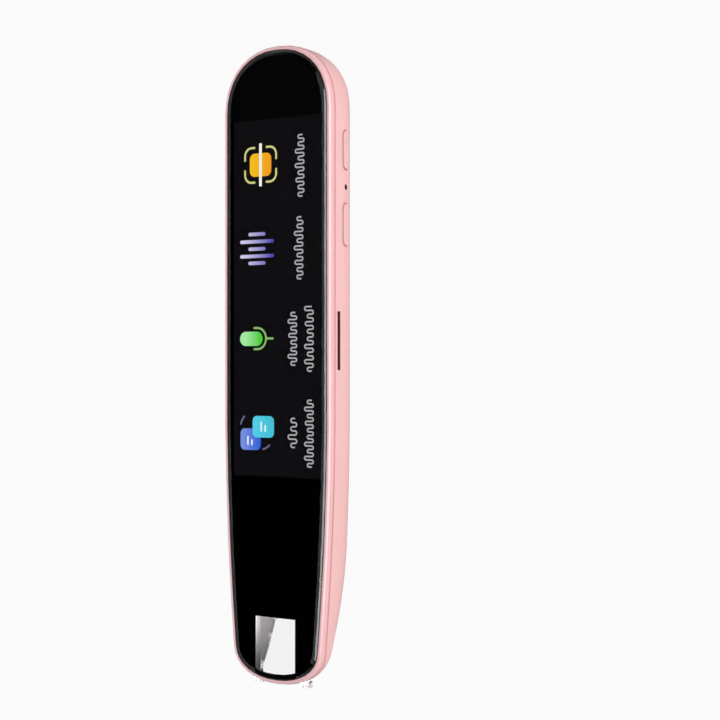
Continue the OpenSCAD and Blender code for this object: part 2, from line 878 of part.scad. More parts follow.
// Plug on the board and the two leads into the end of the battery
module battery_connector() {
    lead_d = 0.8;
    plug_x = 3;
    lead_len = plug_y - plug_size[1] / 2 - battery_y_top;
    color("#E9E6DC") chip([plug_x, plug_y], [plug_size[0], plug_size[1],
        battery_gap + battery_t / 2 + lead_d / 2]);
    color("#B33A3A") for (x = [plug_x - 1, plug_x + 1])
        translate([x, battery_y_top + lead_len + eps, battery_top - battery_t / 2])
            rotate([90, 0, 0]) cylinder(d = lead_d, h = lead_len + eps, $fn = 24);
}

// ---- Scan chamber ----

notch_x = notch_w / 2;
chamber_wall = 1;
nib_x = notch_x - nib_gap;              // outer face of the nib's side plates
nib_top_z = z_split - nib_gap;
foot_h = 1.5;
foot_t = 1.6;
foot_x = [5.6, 8.2];
foot_r = 0.4;
foot_ribs = 4;
rib_pitch = (foot_x[1] - foot_x[0]) / foot_ribs;
rib_deep = 0.25;
foot_y = y_tip - nib_out;
wing_end = foot_y + foot_h + nib_travel + nib_gap;
pin_x = nib_x - 1;
pin_z = z_split - 5.8;
pin_gap = 0.05;
rod_w = 1.2;
rod_z = board_low - 0.7;
collar_d = 2.6;
collar_h = 0.8;
pin_tail = 1.9;
seat_post = 1.2;
spring_low = bulkhead_top + 0.05 + collar_h;
spring_high = board_y_low - 0.6;
camera_z = z_split - 5.1;
sight = [4.6, 3.6];                     // half width and half height of the camera's opening

// Height of the nib's lower edge at y
function nib_edge(y) = min(nib_top_z - foot_t, skin_z(nib_x, y, wall) + nib_gap);

module scan_nib() {
    steps = 10;
    y_side = foot_y + foot_h - eps;
    corner_low = nib_edge(bar_y - nib_bar);     // clear of the notch's round corners
    color(clear) {
        for (side = [0, 1]) mirror([side, 0, 0]) {
            // Side plate, its lower edge at a constant distance inside the skin
            translate([nib_x - nib_wall, 0, 0]) rotate([90, 0, 90]) linear_extrude(nib_wall)
                polygon(concat(
                    [[y_side, nib_top_z], [y_side, nib_edge(wing_end)]],
                    [for (i = [0 : steps])
                        let (y = wing_end + (bar_y - wing_end) * i / steps)
                        [y, nib_edge(y)]],
                    [[bar_y, nib_top_z]]
                ));
            difference() {
                translate([(foot_x[0] + foot_x[1]) / 2, foot_y + foot_h / 2,
                        nib_top_z - foot_t])
                    linear_extrude(foot_t)
                        round_rect([foot_x[1] - foot_x[0], foot_h], foot_r);
                for (i = [0 : foot_ribs - 1])
                    translate([foot_x[0] + (i + 0.5) * rib_pitch, foot_y - cut,
                            nib_top_z - foot_t - cut])
                        cube([rib_pitch / 2, foot_h + 2 * cut, cut + rib_deep]);
            }
            // Corner block, guide pin with its collar, and tail inside the spring
            block([notch_x - notch_r - eps, bar_y - nib_bar, corner_low],
                [nib_x, bar_y, pin_z + nib_pin_d / 2 + 0.2]);
            translate([pin_x, bar_y - eps, pin_z]) rotate([-90, 0, 0]) {
                cylinder(d = nib_pin_d, h = spring_low + pin_tail - bar_y + eps, $fn = 32);
                translate([0, 0, bulkhead_top + 0.05 - bar_y + eps])
                    cylinder(d = collar_d, h = collar_h, $fn = 40);
            }
        }
        // Crossbar behind the straight part of the notch's upper edge
        block([notch_r - notch_x, bar_y - nib_bar, nib_edge(bar_y)],
            [notch_x - notch_r, bar_y, corner_low + nib_wall]);
        // Rod that works the switch
        block([pin_x - rod_w / 2, bar_y - nib_bar, rod_z - rod_w / 2],
            [nib_x, bar_y, rod_z + rod_w / 2]);
        block([pin_x - rod_w / 2, bar_y - eps, rod_z - rod_w / 2],
            [pin_x + rod_w / 2, rod_end, rod_z + rod_w / 2]);
    }
}

// Points of one coil that runs along +Y from the origin
spring_turns = 6;
spring_ring = 12;
spring_sides = 6;
spring_r = 1.2;

module coil(length) {
    n = spring_turns * spring_ring;
    run = length - spring_wire;
    points = [for (i = [0 : n], j = [0 : spring_sides - 1])
        let (a = 360 * i / spring_ring, b = 360 * j / spring_sides,
            r = spring_r + spring_wire / 2 * cos(b))
        [r * cos(a), spring_wire / 2 + run * i / n + spring_wire / 2 * sin(b), r * sin(a)]];
    polyhedron(
        points = points,
        faces = concat(
            [[for (j = [0 : spring_sides - 1]) j]],
            [for (i = [0 : n - 1], j = [0 : spring_sides - 1], side = [0, 1])
                let (a = i * spring_sides + j, b = i * spring_sides + (j + 1) % spring_sides)
                side == 0 ? [a, a + spring_sides, b] : [b, a + spring_sides, b + spring_sides]],
            [[for (j = [spring_sides - 1 : -1 : 0]) n * spring_sides + j]]
        )
    );
}

module nib_springs() {
    color(metal) for (x = [-pin_x, pin_x])
        translate([x, spring_low, pin_z]) coil(spring_high - spring_low);
}

nib_plunger_d = 1;
nib_plunger_bite = 0.7;

module nib_switch() {
    hole_depth = nib_plunger_bite + nib_travel + 0.2;
    color(metal) difference() {
        block([pin_x - nib_switch_size[0] / 2, nib_switch_y, board_low - nib_switch_size[2]],
            [pin_x + nib_switch_size[0] / 2, nib_switch_y + nib_switch_size[1], board_low]);
        translate([pin_x, nib_switch_y - cut, rod_z]) rotate([-90, 0, 0])
            cylinder(d = nib_plunger_d + 0.1, h = hole_depth + cut, $fn = 32);
    }
}

module nib_switch_plunger() {
    color(black) translate([pin_x, rod_end, rod_z]) rotate([-90, 0, 0])
        cylinder(d = nib_plunger_d, h = nib_switch_y - rod_end + nib_plunger_bite, $fn = 32);
}

// Camera body behind the bulkhead, its barrel in the opening
camera_w = 6.8;
camera_low = skin_z(camera_w / 2, bulkhead_top, wall) + open_gap;
camera_high = camera_z + sight[1] + 0.5;
barrel_d = 5;
barrel_bore = 3.6;
light_board_t = 0.5;
light_size = [1.6, 0.45, 0.9];

module scan_camera() {
    color(chip_black) difference() {
        union() {
            block([-camera_w / 2, bulkhead_top, camera_low],
                [camera_w / 2, bulkhead_top + camera_len, camera_high]);
            translate([0, bulkhead_y + 0.15, camera_z]) rotate([-90, 0, 0])
                cylinder(d = barrel_d, h = bulkhead_t, $fn = 48);
        }
        translate([0, bulkhead_y - cut, camera_z]) rotate([-90, 0, 0])
            cylinder(d = barrel_bore, h = cut + 1.4, $fn = 48);
    }
}

module camera_lens() {
    color(clear) translate([0, bulkhead_y + 0.4, camera_z]) rotate([-90, 0, 0])
        cylinder(d = barrel_bore, h = 1, $fn = 48);
}

module light_board() {
    y = bulkhead_top - light_board_t;
    color("#F2F2EE") difference() {
        block([-sight[0] + 0.1, y, camera_z - sight[1] + 0.1],
            [sight[0] - 0.1, bulkhead_top - eps, camera_z + sight[1] - 0.1]);
        translate([0, y - cut, camera_z]) rotate([-90, 0, 0])
            cylinder(d = barrel_d + 0.2, h = light_board_t + 2 * cut, $fn = 48);
    }
}

module scan_lights() {
    y = bulkhead_top - light_board_t;
    color("#FFF6D8") for (x = [-1, 1], z = [-1, 1])
        block([x * 3.3 - light_size[0] / 2, y - light_size[1], camera_z + z * 2.7 - 0.45],
            [x * 3.3 + light_size[0] / 2, y, camera_z + z * 2.7 + 0.45]);
}

// ---- Rear shell ----

// Plan of the notch at the tip, with round inner corners
module notch_plan() {
    translate([0, notch_y - notch_len]) round_rect([notch_w, 2 * notch_len], notch_r);
}

// Wall beside the scan chamber, its lower edge buried in the wall of the shell
module chamber_side() {
    steps = 10;
    x_out = notch_x + chamber_wall;
    translate([notch_x, 0, 0]) rotate([90, 0, 90]) linear_extrude(chamber_wall)
        polygon(concat(
            [[bulkhead_y + eps, z_split], [wing_end, z_split]],
            [for (i = [0 : steps])
                let (y = wing_end + (bulkhead_y + eps - wing_end) * i / steps)
                [y, min(z_split - eps, skin_z(x_out, y) + wall / 2)]]
        ));
}

// Added parts inside the shell: cover seat, chamber, bulkhead, spring posts, ribs, catches
module shell_ribs() {
    post_w = 3.4;
    rib_t = 1;
    translate([0, 0, seat_z - 0.1]) linear_extrude(pad_floor_t + 0.1)
        polygon(oval(-0.2, 1.2));
    cross_plate(bulkhead_y, bulkhead_t);
    for (side = [0, 1]) mirror([side, 0, 0]) {
        chamber_side();
        block([pin_x - post_w / 2, spring_high, skin_z(pin_x + post_w / 2, spring_high) + 0.25],
            [pin_x + post_w / 2, spring_high + seat_post, rod_z - rod_w / 2 - open_gap]);
        for (y = tongue_places) catch(y);
    }
    for (y = battery_ribs) intersection() {
        cross_plate(y, rib_t);
        block([-battery_w / 2, y - cut, 0],
            [battery_w / 2, y + rib_t + cut, battery_top - battery_t - fit_gap]);
    }
}

module rear_shell() {
    color(pink) difference() {
        union() {
            back_bowl();
            shell_ribs();
        }
        // Notch at the tip, and the ends of its sides cut back for the nib's feet
        translate([0, 0, -cut]) linear_extrude(z_split + 2 * cut) notch_plan();
        block([-foot_x[1] - nib_gap, y_tip - cut, -cut],
            [foot_x[1] + nib_gap, wing_end, z_split + cut]);
        // Camera opening, pin holes and rod slot in the bulkhead
        block([-sight[0], bulkhead_y - cut, camera_z - sight[1]],
            [sight[0], bulkhead_top + cut, camera_z + sight[1]]);
        for (x = [-pin_x, pin_x]) translate([x, bulkhead_y - cut, pin_z]) rotate([-90, 0, 0])
            cylinder(d = nib_pin_d + 2 * pin_gap, h = bulkhead_t + 2 * cut, $fn = 32);
        block([pin_x - rod_w / 2 - open_gap, bulkhead_y - cut, rod_z - rod_w / 2 - open_gap],
            [pin_x + rod_w / 2 + open_gap, bulkhead_top + cut, rod_z + rod_w / 2 + open_gap]);
        // Seat of the speaker cover, recess of the mesh and sound hole
        translate([0, 0, -cut]) linear_extrude(cut + seat_z) polygon(oval(fit_gap, fit_gap));
        translate([0, grille_y, seat_z - eps]) {
            cylinder(d = speaker_d + 0.8, h = mesh_t + eps, $fn = 64);
            cylinder(d = sound_d, h = pad_floor_t + cut, $fn = 64);
        }
        // Keys, microphone hole, card slot and USB opening
        for (k = [[power_y, power_len], [function_y, function_len]])
            side_stadium(flange_x - cut, half_w + cut, k[0], z_key,
                k[1] + 2 * key_gap, key_w + 2 * key_gap);
        translate([flange_x - cut, mic_y, port_z]) rotate([0, 90, 0])
            cylinder(d = mic_d, h = 2 * cut + half_w - flange_x, $fn = 32);
        block([card_mouth_x, card_y - card_slot_len / 2, card_z - card_slot_w / 2],
            [half_w + cut, card_y + card_slot_len / 2, card_z + card_slot_w / 2]);
        translate([0, y_top + cut, usb_z]) rotate([90, 0, 0])
            linear_extrude(4 + cut) usb_outline(open_gap);
    }
}

front_glass();
glass_print();
glass_seal();
scan_window();
glass_tape();
display_cell();
display_backlight();
display_cable();
front_frame();
rear_shell();
speaker_cover();
speaker_mesh();
speaker_gasket();
speaker();
main_board();
board_screws();
processor();
memory_chips();
shield_can();
usb_c_socket();
card_socket();
power_key();
function_key();
power_switch();
function_switch();
power_switch_plunger();
function_switch_plunger();
microphone();
microphone_boot();
battery();
battery_tape();
battery_connector();
scan_camera();
camera_lens();
light_board();
scan_lights();
scan_nib();
nib_springs();
nib_switch();
nib_switch_plunger();
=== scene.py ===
"""Looks of a handheld scanning translator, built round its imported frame.

The pen lies on its back: X across, +Y to the top end, +Z out of the screen. Metres.
"""

import logging
import math
from dataclasses import dataclass, field, replace
from enum import Enum

import bpy
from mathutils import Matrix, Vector


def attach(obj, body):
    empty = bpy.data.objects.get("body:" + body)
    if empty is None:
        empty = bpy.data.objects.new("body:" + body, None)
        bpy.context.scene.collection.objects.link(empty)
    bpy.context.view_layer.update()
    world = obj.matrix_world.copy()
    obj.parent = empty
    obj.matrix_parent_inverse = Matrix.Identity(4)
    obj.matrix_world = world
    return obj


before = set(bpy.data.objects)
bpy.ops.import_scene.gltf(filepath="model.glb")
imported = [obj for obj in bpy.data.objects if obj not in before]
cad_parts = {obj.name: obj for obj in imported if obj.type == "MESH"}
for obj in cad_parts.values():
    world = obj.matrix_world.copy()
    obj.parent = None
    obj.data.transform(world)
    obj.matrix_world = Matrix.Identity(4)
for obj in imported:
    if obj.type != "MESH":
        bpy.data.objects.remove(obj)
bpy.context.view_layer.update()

MM = 0.001
LOG = logging.getLogger("translator")

Point = tuple[float, float, float]
Pair = tuple[float, float]
Stops = tuple[tuple[float, str], ...]
Tree = bpy.types.NodeTree
Socket = bpy.types.NodeSocket


class Body(Enum):
    """The bodies that pieces ride on."""

    CASE = "case"


class Lamp(Enum):
    """What a lamp does: light and show, show in reflections only, or light only."""

    BOX = "box"
    CARD = "card"
    WASH = "wash"


# ---- Colour and node helpers ----


def linear(code: str) -> tuple[float, float, float, float]:
    """Turns an sRGB hex value into linear RGBA.

    Args:
        code: Colour such as "#F4B9BA".

    Returns:
        The linear colour, opaque.
    """
    parts = [int(code[i : i + 2], 16) / 255 for i in (1, 3, 5)]
    low = [c / 12.92 if c <= 0.04045 else ((c + 0.055) / 1.055) ** 2.4 for c in parts]
    return (low[0], low[1], low[2], 1.0)


def add_node(
    tree: Tree,
    kind: str,
    sockets: dict[str | int, object] | None = None,
    out: str | int = 0,
    stops: Stops = (),
    **settings: object,
) -> Socket | None:
    """Adds a node with its settings, values and links.

    Args:
        tree: Tree that gets the node.
        kind: The node's type name.
        sockets: Input name or index to a value, or to an output that is linked to it.
        out: Output that is wanted.
        stops: Position and sRGB hex value of each stop of a colour ramp.
        settings: Properties of the node.

    Returns:
        The wanted output, or None for a node without one.
    """
    node = tree.nodes.new(kind)
    for name, value in settings.items():
        setattr(node, name, value)
    for name, value in (sockets or {}).items():
        if isinstance(value, Socket):
            tree.links.new(value, node.inputs[name])
        else:
            node.inputs[name].default_value = value
    while len(stops) > len(node.color_ramp.elements if stops else ()):
        node.color_ramp.elements.new(0.5)
    for i, (position, code) in enumerate(stops):
        node.color_ramp.elements[i].position = position
        node.color_ramp.elements[i].color = linear(code)
    return node.outputs[out] if len(node.outputs) else None


# ---- Finishes ----


# How far a hard edge between two shades is smeared, in millimetres
HARD = 0.02


@dataclass(frozen=True)
class Area:
    """A box of space in which a piece's surface has other colours. Millimetres.

    A corner radius rounds the box in the plane of Y and Z, and then one soft edge is used there.
    """

    middle: Point
    half: Point
    stops: Stops
    soft: Point = (HARD, HARD, HARD)
    corner: float = 0.0

    def share(self, tree: Tree, place: Socket) -> Socket:
        """Works out 1 inside the box, fading to 0 over the soft edge outside it.

        Args:
            tree: Tree that gets the nodes.
            place: Object coordinates.

        Returns:
            The share.
        """
        middle = [value * MM for value in self.middle]
        reach = [(a + b) * MM for a, b in zip(self.half, self.soft)]
        soft = [value * MM for value in self.soft]
        vector = "ShaderNodeVectorMath"
        off = add_node(tree, vector, {0: place, 1: middle}, operation="SUBTRACT")
        away = add_node(tree, vector, {0: off}, operation="ABSOLUTE")
        left = add_node(tree, vector, {0: reach, 1: away}, operation="SUBTRACT")
        left = add_node(tree, vector, {0: left, 1: soft}, operation="DIVIDE")
        axes = add_node(tree, "ShaderNodeSeparateXYZ", {0: left}).node.outputs
        if self.corner:
            across = self.rounded(tree, away)
        else:
            sockets = {0: axes[1], 1: axes[2]}
            across = add_node(tree, "ShaderNodeMath", sockets, operation="MINIMUM")
        sockets = {0: axes[0], 1: across}
        return add_node(tree, "ShaderNodeMath", sockets, operation="MINIMUM", use_clamp=True)

    def rounded(self, tree: Tree, away: Socket) -> Socket:
        """Works out the share across Y and Z of a box with rounded corners.

        Args:
            tree: Tree that gets the nodes.
            away: How far a place is from the middle, along each axis.

        Returns:
            The share, not yet kept between 0 and 1.
        """
        vector = "ShaderNodeVectorMath"
        core = [0.0, *((value - self.corner) * MM for value in self.half[1:])]
        past = add_node(tree, vector, {0: away, 1: core}, operation="SUBTRACT")
        past = add_node(tree, vector, {0: past}, operation="MAXIMUM")
        past = add_node(tree, vector, {0: past, 1: (0, 1, 1)}, operation="MULTIPLY")
        past = add_node(tree, vector, {0: past}, out="Value", operation="LENGTH")
        soft = self.soft[1] * MM
        sockets = {0: self.corner * MM + soft, 1: past}
        left = add_node(tree, "ShaderNodeMath", sockets, operation="SUBTRACT")
        return add_node(tree, "ShaderNodeMath", {0: left, 1: soft}, operation="DIVIDE")

    def colour(self, tree: Tree, place: Socket) -> Socket | tuple:
        """Gives the area's one colour, or runs through its colours along Y.

        Args:
            tree: Tree that gets the nodes.
            place: Object coordinates.

        Returns:
            The colour.
        """
        if len(self.stops) == 1:
            return linear(self.stops[0][1])
        low, high = self.stops[0][0], self.stops[-1][0]
        axes = add_node(tree, "ShaderNodeSeparateXYZ", {0: place}).node.outputs
        way = add_node(
            tree,
            "ShaderNodeMapRange",
            {"Value": axes[1], "From Min": low * MM, "From Max": high * MM},
        )
        spread = tuple(((y - low) / (high - low), code) for y, code in self.stops)
        return add_node(tree, "ShaderNodeValToRGB", {"Fac": way}, stops=spread)


@dataclass(frozen=True)
class Finish:
    """One finish of a real material, and how its surface was made."""

    name: str
    colour: str
    rough: float = 0.5
    ior: float = 1.5
    gloss: float = 0.5
    areas: tuple[Area, ...] = ()

    def material(self) -> bpy.types.Material:
        """Builds the material once.

        Returns:
            The material, the same one each time.
        """
        made = bpy.data.materials.get(self.name)
        if made:
            return made
        made = bpy.data.materials.new(self.name)
        made.use_nodes = True
        made.diffuse_color = linear(self.colour)
        tree = made.node_tree
        tree.nodes.clear()
        place = add_node(tree, "ShaderNodeTexCoord", out="Object")
        add_node(tree, "ShaderNodeOutputMaterial", {"Surface": self.surface(tree, place)})
        return made

    def principled(self, tree: Tree, sockets: dict[str, object]) -> Socket:
        """Adds a Principled shader with this finish's plain values.

        Args:
            tree: Tree that gets the node.
            sockets: Further values and links.

        Returns:
            The shader.
        """
        values = {
            "Base Color": linear(self.colour),
            "Roughness": self.rough,
            "IOR": self.ior,
            "Specular IOR Level": self.gloss,
        }
        return add_node(tree, "ShaderNodeBsdfPrincipled", {**values, **sockets})

    def painted(self, tree: Tree, place: Socket, base: Socket | tuple) -> Socket | tuple:
        """Lays the colours of the areas over a base colour.

        Args:
            tree: Tree that gets the nodes.
            place: Object coordinates.
            base: Colour outside the areas.

        Returns:
            The colour.
        """
        for area in self.areas:
            sockets = {"Factor": area.share(tree, place), 6: base, 7: area.colour(tree, place)}
            base = add_node(tree, "ShaderNodeMix", sockets, out=2, data_type="RGBA")
        return base

    def surface(self, tree: Tree, place: Socket) -> Socket:
        """Builds the shader. Each kind of finish has its own.

        Args:
            tree: Tree that gets the nodes.
            place: Object coordinates.

        Returns:
            The shader.
        """
        raise NotImplementedError


@dataclass(frozen=True)
class MouldedPlastic(Finish):
    """Injection-moulded plastic: even colour, faint flow clouds and a fine spark-eroded grain."""

    cloud: str = "#FFFFFF"
    cloud_mm: float = 14.0
    grain_mm: float = 0.35
    grain_deep: float = 0.012
    spread: float = 0.06
    coat: float = 0.0
    coat_rough: float = 0.12
    scatter: float = 0.0

    def surface(self, tree: Tree, place: Socket) -> Socket:
        """Clouds the colour, varies the gloss and grains the surface.

        Args:
            tree: Tree that gets the nodes.
            place: Object coordinates.

        Returns:
            The shader.
        """
        cloud_at = {"Vector": place, "Scale": 1 / (self.cloud_mm * MM), "Detail": 3}
        clouds = add_node(tree, "ShaderNodeTexNoise", cloud_at)
        share = add_node(tree, "ShaderNodeMath", {0: clouds, 1: 0.3}, operation="MULTIPLY")
        sockets = {"Factor": share, 6: linear(self.colour), 7: linear(self.cloud)}
        colour = add_node(tree, "ShaderNodeMix", sockets, out=2, data_type="RGBA")
        sockets = {
            "Value": clouds,
            "To Min": self.rough - self.spread,
            "To Max": self.rough + self.spread,
        }
        gloss = add_node(tree, "ShaderNodeMapRange", sockets)
        grain_at = {"Vector": place, "Scale": 1 / (self.grain_mm * MM), "Detail": 2}
        grain = add_node(tree, "ShaderNodeTexNoise", grain_at)
        sockets = {"Height": grain, "Distance": self.grain_deep * MM, "Strength": 0.5}
        return self.principled(
            tree,
            {
                "Base Color": self.painted(tree, place, colour),
                "Roughness": gloss,
                "Normal": add_node(tree, "ShaderNodeBump", sockets),
                "Coat Weight": self.coat,
                "Coat Roughness": self.coat_rough,
                "Subsurface Weight": self.scatter,
                "Subsurface Radius": (1.0, 0.5, 0.4),
                "Subsurface Scale": 0.6 * MM,
            },
        )


@dataclass(frozen=True)
class ClearPart(Finish):
    """Clear polished glass or plastic that lets lamps through, as a thin wall does."""

    shade: str = "#FFFFFF"
    wave_deep: float = 0.0

    def surface(self, tree: Tree, place: Socket) -> Socket:
        """Glass for the eye, ground faces in its areas, and a clear sheet for shadows.

        Args:
            tree: Tree that gets the nodes.
            place: Object coordinates.

        Returns:
            The shader.
        """
        wave_at = {"Vector": place, "Scale": 1 / (6.0 * MM), "Detail": 1}
        wave = add_node(tree, "ShaderNodeTexNoise", wave_at)
        sockets = {"Height": wave, "Distance": self.wave_deep * MM, "Strength": 0.4}
        normal = add_node(tree, "ShaderNodeBump", sockets)
        glass = self.principled(tree, {"Transmission Weight": 1.0, "Normal": normal})
        for area in self.areas:
            ground = add_node(tree, "ShaderNodeBsdfDiffuse", {"Color": area.colour(tree, place)})
            sockets = {0: area.share(tree, place), 1: glass, 2: ground}
            glass = add_node(tree, "ShaderNodeMixShader", sockets)
        clear = add_node(tree, "ShaderNodeBsdfTransparent", {"Color": linear(self.shade)})
        shadow = add_node(tree, "ShaderNodeLightPath", out="Is Shadow Ray")
        return add_node(tree, "ShaderNodeMixShader", {0: shadow, 1: glass, 2: clear})


@dataclass(frozen=True)
class SheetMetal(Finish):
    """Rolled or drawn metal: a grain along one axis and slight stains."""

    stain: str = "#8D8F93"
    grain_mm: float = 0.25
    stretch: Point = (1.0, 0.06, 1.0)

    def surface(self, tree: Tree, place: Socket) -> Socket:
        """Streaks the gloss along the rolling direction and stains the colour.

        Args:
            tree: Tree that gets the nodes.
            place: Object coordinates.

        Returns:
            The shader.
        """
        drawn = add_node(tree, "ShaderNodeMapping", {"Vector": place, "Scale": self.stretch})
        streak_at = {"Vector": drawn, "Scale": 1 / (self.grain_mm * MM), "Detail": 3}
        streak = add_node(tree, "ShaderNodeTexNoise", streak_at)
        stain_at = {"Vector": place, "Scale": 1 / (5.0 * MM), "Detail": 2}
        stains = add_node(tree, "ShaderNodeTexNoise", stain_at)
        share = add_node(tree, "ShaderNodeMath", {0: stains, 1: 0.4}, operation="MULTIPLY")
        sockets = {"Factor": share, 6: linear(self.colour), 7: linear(self.stain)}
        colour = add_node(tree, "ShaderNodeMix", sockets, out=2, data_type="RGBA")
        sockets = {"Value": streak, "To Min": self.rough - 0.1, "To Max": self.rough + 0.12}
        gloss = add_node(tree, "ShaderNodeMapRange", sockets)
        sockets = {"Height": streak, "Distance": 0.004 * MM, "Strength": 0.4}
        return self.principled(
            tree,
            {
                "Base Color": self.painted(tree, place, colour),
                "Metallic": 1.0,
                "Roughness": gloss,
                "Normal": add_node(tree, "ShaderNodeBump", sockets),
            },
        )


@dataclass(frozen=True)
class SolderMask(Finish):
    """Circuit board: lacquer over copper tracks that show as a paler, raised net."""

    track: str = "#2E7A52"
    pitch_mm: float = 2.4
    line: float = 0.12

    def surface(self, tree: Tree, place: Socket) -> Socket:
        """Draws the tracks along the edges of cells at the real pitch.

        Args:
            tree: Tree that gets the nodes.
            place: Object coordinates.

        Returns:
            The shader.
        """
        cells = add_node(
            tree,
            "ShaderNodeTexVoronoi",
            {"Vector": place, "Scale": 1 / (self.pitch_mm * MM), "Randomness": 0.8},
            out="Distance",
            feature="DISTANCE_TO_EDGE",
        )
        track = add_node(
            tree, "ShaderNodeMath", {0: cells, 1: self.line}, operation="LESS_THAN"
        )
        sockets = {"Factor": track, 6: linear(self.colour), 7: linear(self.track)}
        colour = add_node(tree, "ShaderNodeMix", sockets, out=2, data_type="RGBA")
        sockets = {"Height": track, "Distance": 0.03 * MM, "Strength": 0.5}
        return self.principled(
            tree,
            {
                "Base Color": colour,
                "Coat Weight": 0.5,
                "Coat Roughness": 0.1,
                "Normal": add_node(tree, "ShaderNodeBump", sockets),
            },
        )


@dataclass(frozen=True)
class WovenMesh(Finish):
    """Woven acoustic mesh: crossed threads with dark holes between them."""

    hole: str = "#1A1013"
    thread_mm: float = 0.45

    def surface(self, tree: Tree, place: Socket) -> Socket:
        """Crosses two sets of threads, drawn coarser than real so that they show.

        Args:
            tree: Tree that gets the nodes.
            place: Object coordinates.

        Returns:
            The shader.
        """
        axes = add_node(tree, "ShaderNodeSeparateXYZ", {0: place}).node.outputs
        turns = 2 * math.pi / (self.thread_mm * MM)
        threads = []
        for axis in (axes[0], axes[1]):
            angle = add_node(tree, "ShaderNodeMath", {0: axis, 1: turns}, operation="MULTIPLY")
            wave = add_node(tree, "ShaderNodeMath", {0: angle}, operation="SINE")
            half = {0: wave, 1: 0.5, 2: 0.5}
            threads.append(add_node(tree, "ShaderNodeMath", half, operation="MULTIPLY_ADD"))
        weave = add_node(
            tree, "ShaderNodeMath", {0: threads[0], 1: threads[1]}, operation="MAXIMUM"
        )
        sockets = {"Factor": weave, 6: linear(self.hole), 7: linear(self.colour)}
        colour = add_node(tree, "ShaderNodeMix", sockets, out=2, data_type="RGBA")
        sockets = {"Height": weave, "Distance": 0.1 * MM, "Strength": 0.8}
        normal = add_node(tree, "ShaderNodeBump", sockets)
        return self.principled(tree, {"Base Color": colour, "Normal": normal})


@dataclass(frozen=True)
class LitPixels(Finish):
    """Part of the lit screen image. Its colour may fade from one end to the other along X."""

    gloss: float = 0.0
    glow: float = 1.0
    fade: str = ""
    fade_x: Pair = (0.0, 1.0)

    def surface(self, tree: Tree, place: Socket) -> Socket:
        """Black glass that gives off the image's own light.

        Args:
            tree: Tree that gets the nodes.
            place: Object coordinates.

        Returns:
            The shader.
        """
        light: Socket | tuple = linear(self.colour)
        if self.fade:
            axes = add_node(tree, "ShaderNodeSeparateXYZ", {0: place}).node.outputs
            low, high = self.fade_x
            sockets = {"Value": axes[0], "From Min": low * MM, "From Max": high * MM}
            share = add_node(tree, "ShaderNodeMapRange", sockets)
            sockets = {"Factor": share, 6: linear(self.colour), 7: linear(self.fade)}
            light = add_node(tree, "ShaderNodeMix", sockets, out=2, data_type="RGBA")
        return self.principled(
            tree,
            {
                "Base Color": linear("#050505"),
                "Emission Color": light,
                "Emission Strength": self.glow,
            },
        )


# Spark-eroded pink ABS: a soft sheen, a fine grain and a little light through its surface.
PINK = MouldedPlastic(
    "ABS_pink_shell_moulded", "#F2BFBE", 0.34, cloud="#F6CCC9", scatter=0.12, coat=0.15
)
# The rim comes from a polished mould: a clear highlight that runs along its round edge.
PINK_TRIM = MouldedPlastic(
    "ABS_pink_trim_moulded",
    "#ECBABD",
    0.24,
    cloud="#F4CACC",
    scatter=0.12,
    coat=0.7,
    coat_rough=0.08,
    grain_deep=0.004,
)
# Keys are rubbed smooth by thumbs: a satin sheen over the shell's colour.
PINK_KEY = MouldedPlastic(
    "ABS_pink_key_moulded", "#F2C2C2", 0.28, cloud="#F6CFCD", scatter=0.12, coat=0.25
)
# The speaker cover is drier than the shell: it lies on the table and is grained against marks.
PINK_COVER = MouldedPlastic(
    "ABS_pink_cover_moulded", "#F2C2BE", 0.36, cloud="#F6D0C9", scatter=0.12, coat=0.1
)
# Polished cover glass: near mirror where it catches a lamp, black elsewhere over its print.
COVER_GLASS = ClearPart("aluminosilicate_glass_polished", "#FFFFFF", 0.02, 1.5, gloss=0.35)
# Polished acrylic: as clear as air but for its edges.
WINDOW = ClearPart("PMMA_window_polished", "#FFFFFF", 0.02, 1.49, shade="#F2F4F5")
# Moulded polycarbonate: clear with a faint flow wave that bends what lies behind it.
CLEAR_NIB = ClearPart(
    "polycarbonate_nib_moulded",
    "#FDFBFC",
    0.04,
    1.58,
    gloss=0.2,
    shade="#F4ECEE",
    wave_deep=0.02,
)
# Coated lens: a deep clear drop with a cool glint.
LENS = ClearPart("coated_lens_glass", "#DCE4FF", 0.01, 1.6, gloss=0.7)
# Screen-printed ink under the glass: flat black that swallows light.
INK = MouldedPlastic(
    "black_screen_print", "#020202", 0.6, gloss=0.0, cloud="#030303", grain_deep=0.002
)
# Lit liquid crystal: its black still leaks a trace of backlight.
PANEL = LitPixels("display_panel_lit_black", "#0B090C", 0.5)
# Extruded rubber: dull dark line round the glass.
SEAL = MouldedPlastic("EPDM_seal_extruded", "#0C0C0D", 0.6, cloud="#121213")
# Moulded silicone: dark and dusty matt.
RUBBER = MouldedPlastic("silicone_boot_moulded", "#1B1B1D", 0.7, cloud="#232326")
# Cut foam: open cells drawn coarser than real, so that they show as pits.
FOAM = MouldedPlastic(
    "PE_foam_die_cut", "#222224", 0.95, cloud="#2B2B2E", grain_mm=0.6, grain_deep=0.15
)
# Acrylic foam tape: a pale waxy strip.
TAPE = MouldedPlastic("acrylic_foam_tape_cut", "#E6E1D6", 0.8, cloud="#D8D2C5")
# Black film tape: thin, smooth and dull.
BLACK_TAPE = MouldedPlastic("PET_tape_black_cut", "#161618", 0.6, cloud="#1C1C1F")
# Rolled stainless sheet: streaks along the tray.
STEEL = SheetMetal("stainless_tray_rolled", "#C2C4C7", 0.32)
# Tinned pressings: bright with greyish stains.
TIN = SheetMetal("tinned_steel_pressed", "#C9CBCE", 0.28, stain="#9FA2A6")
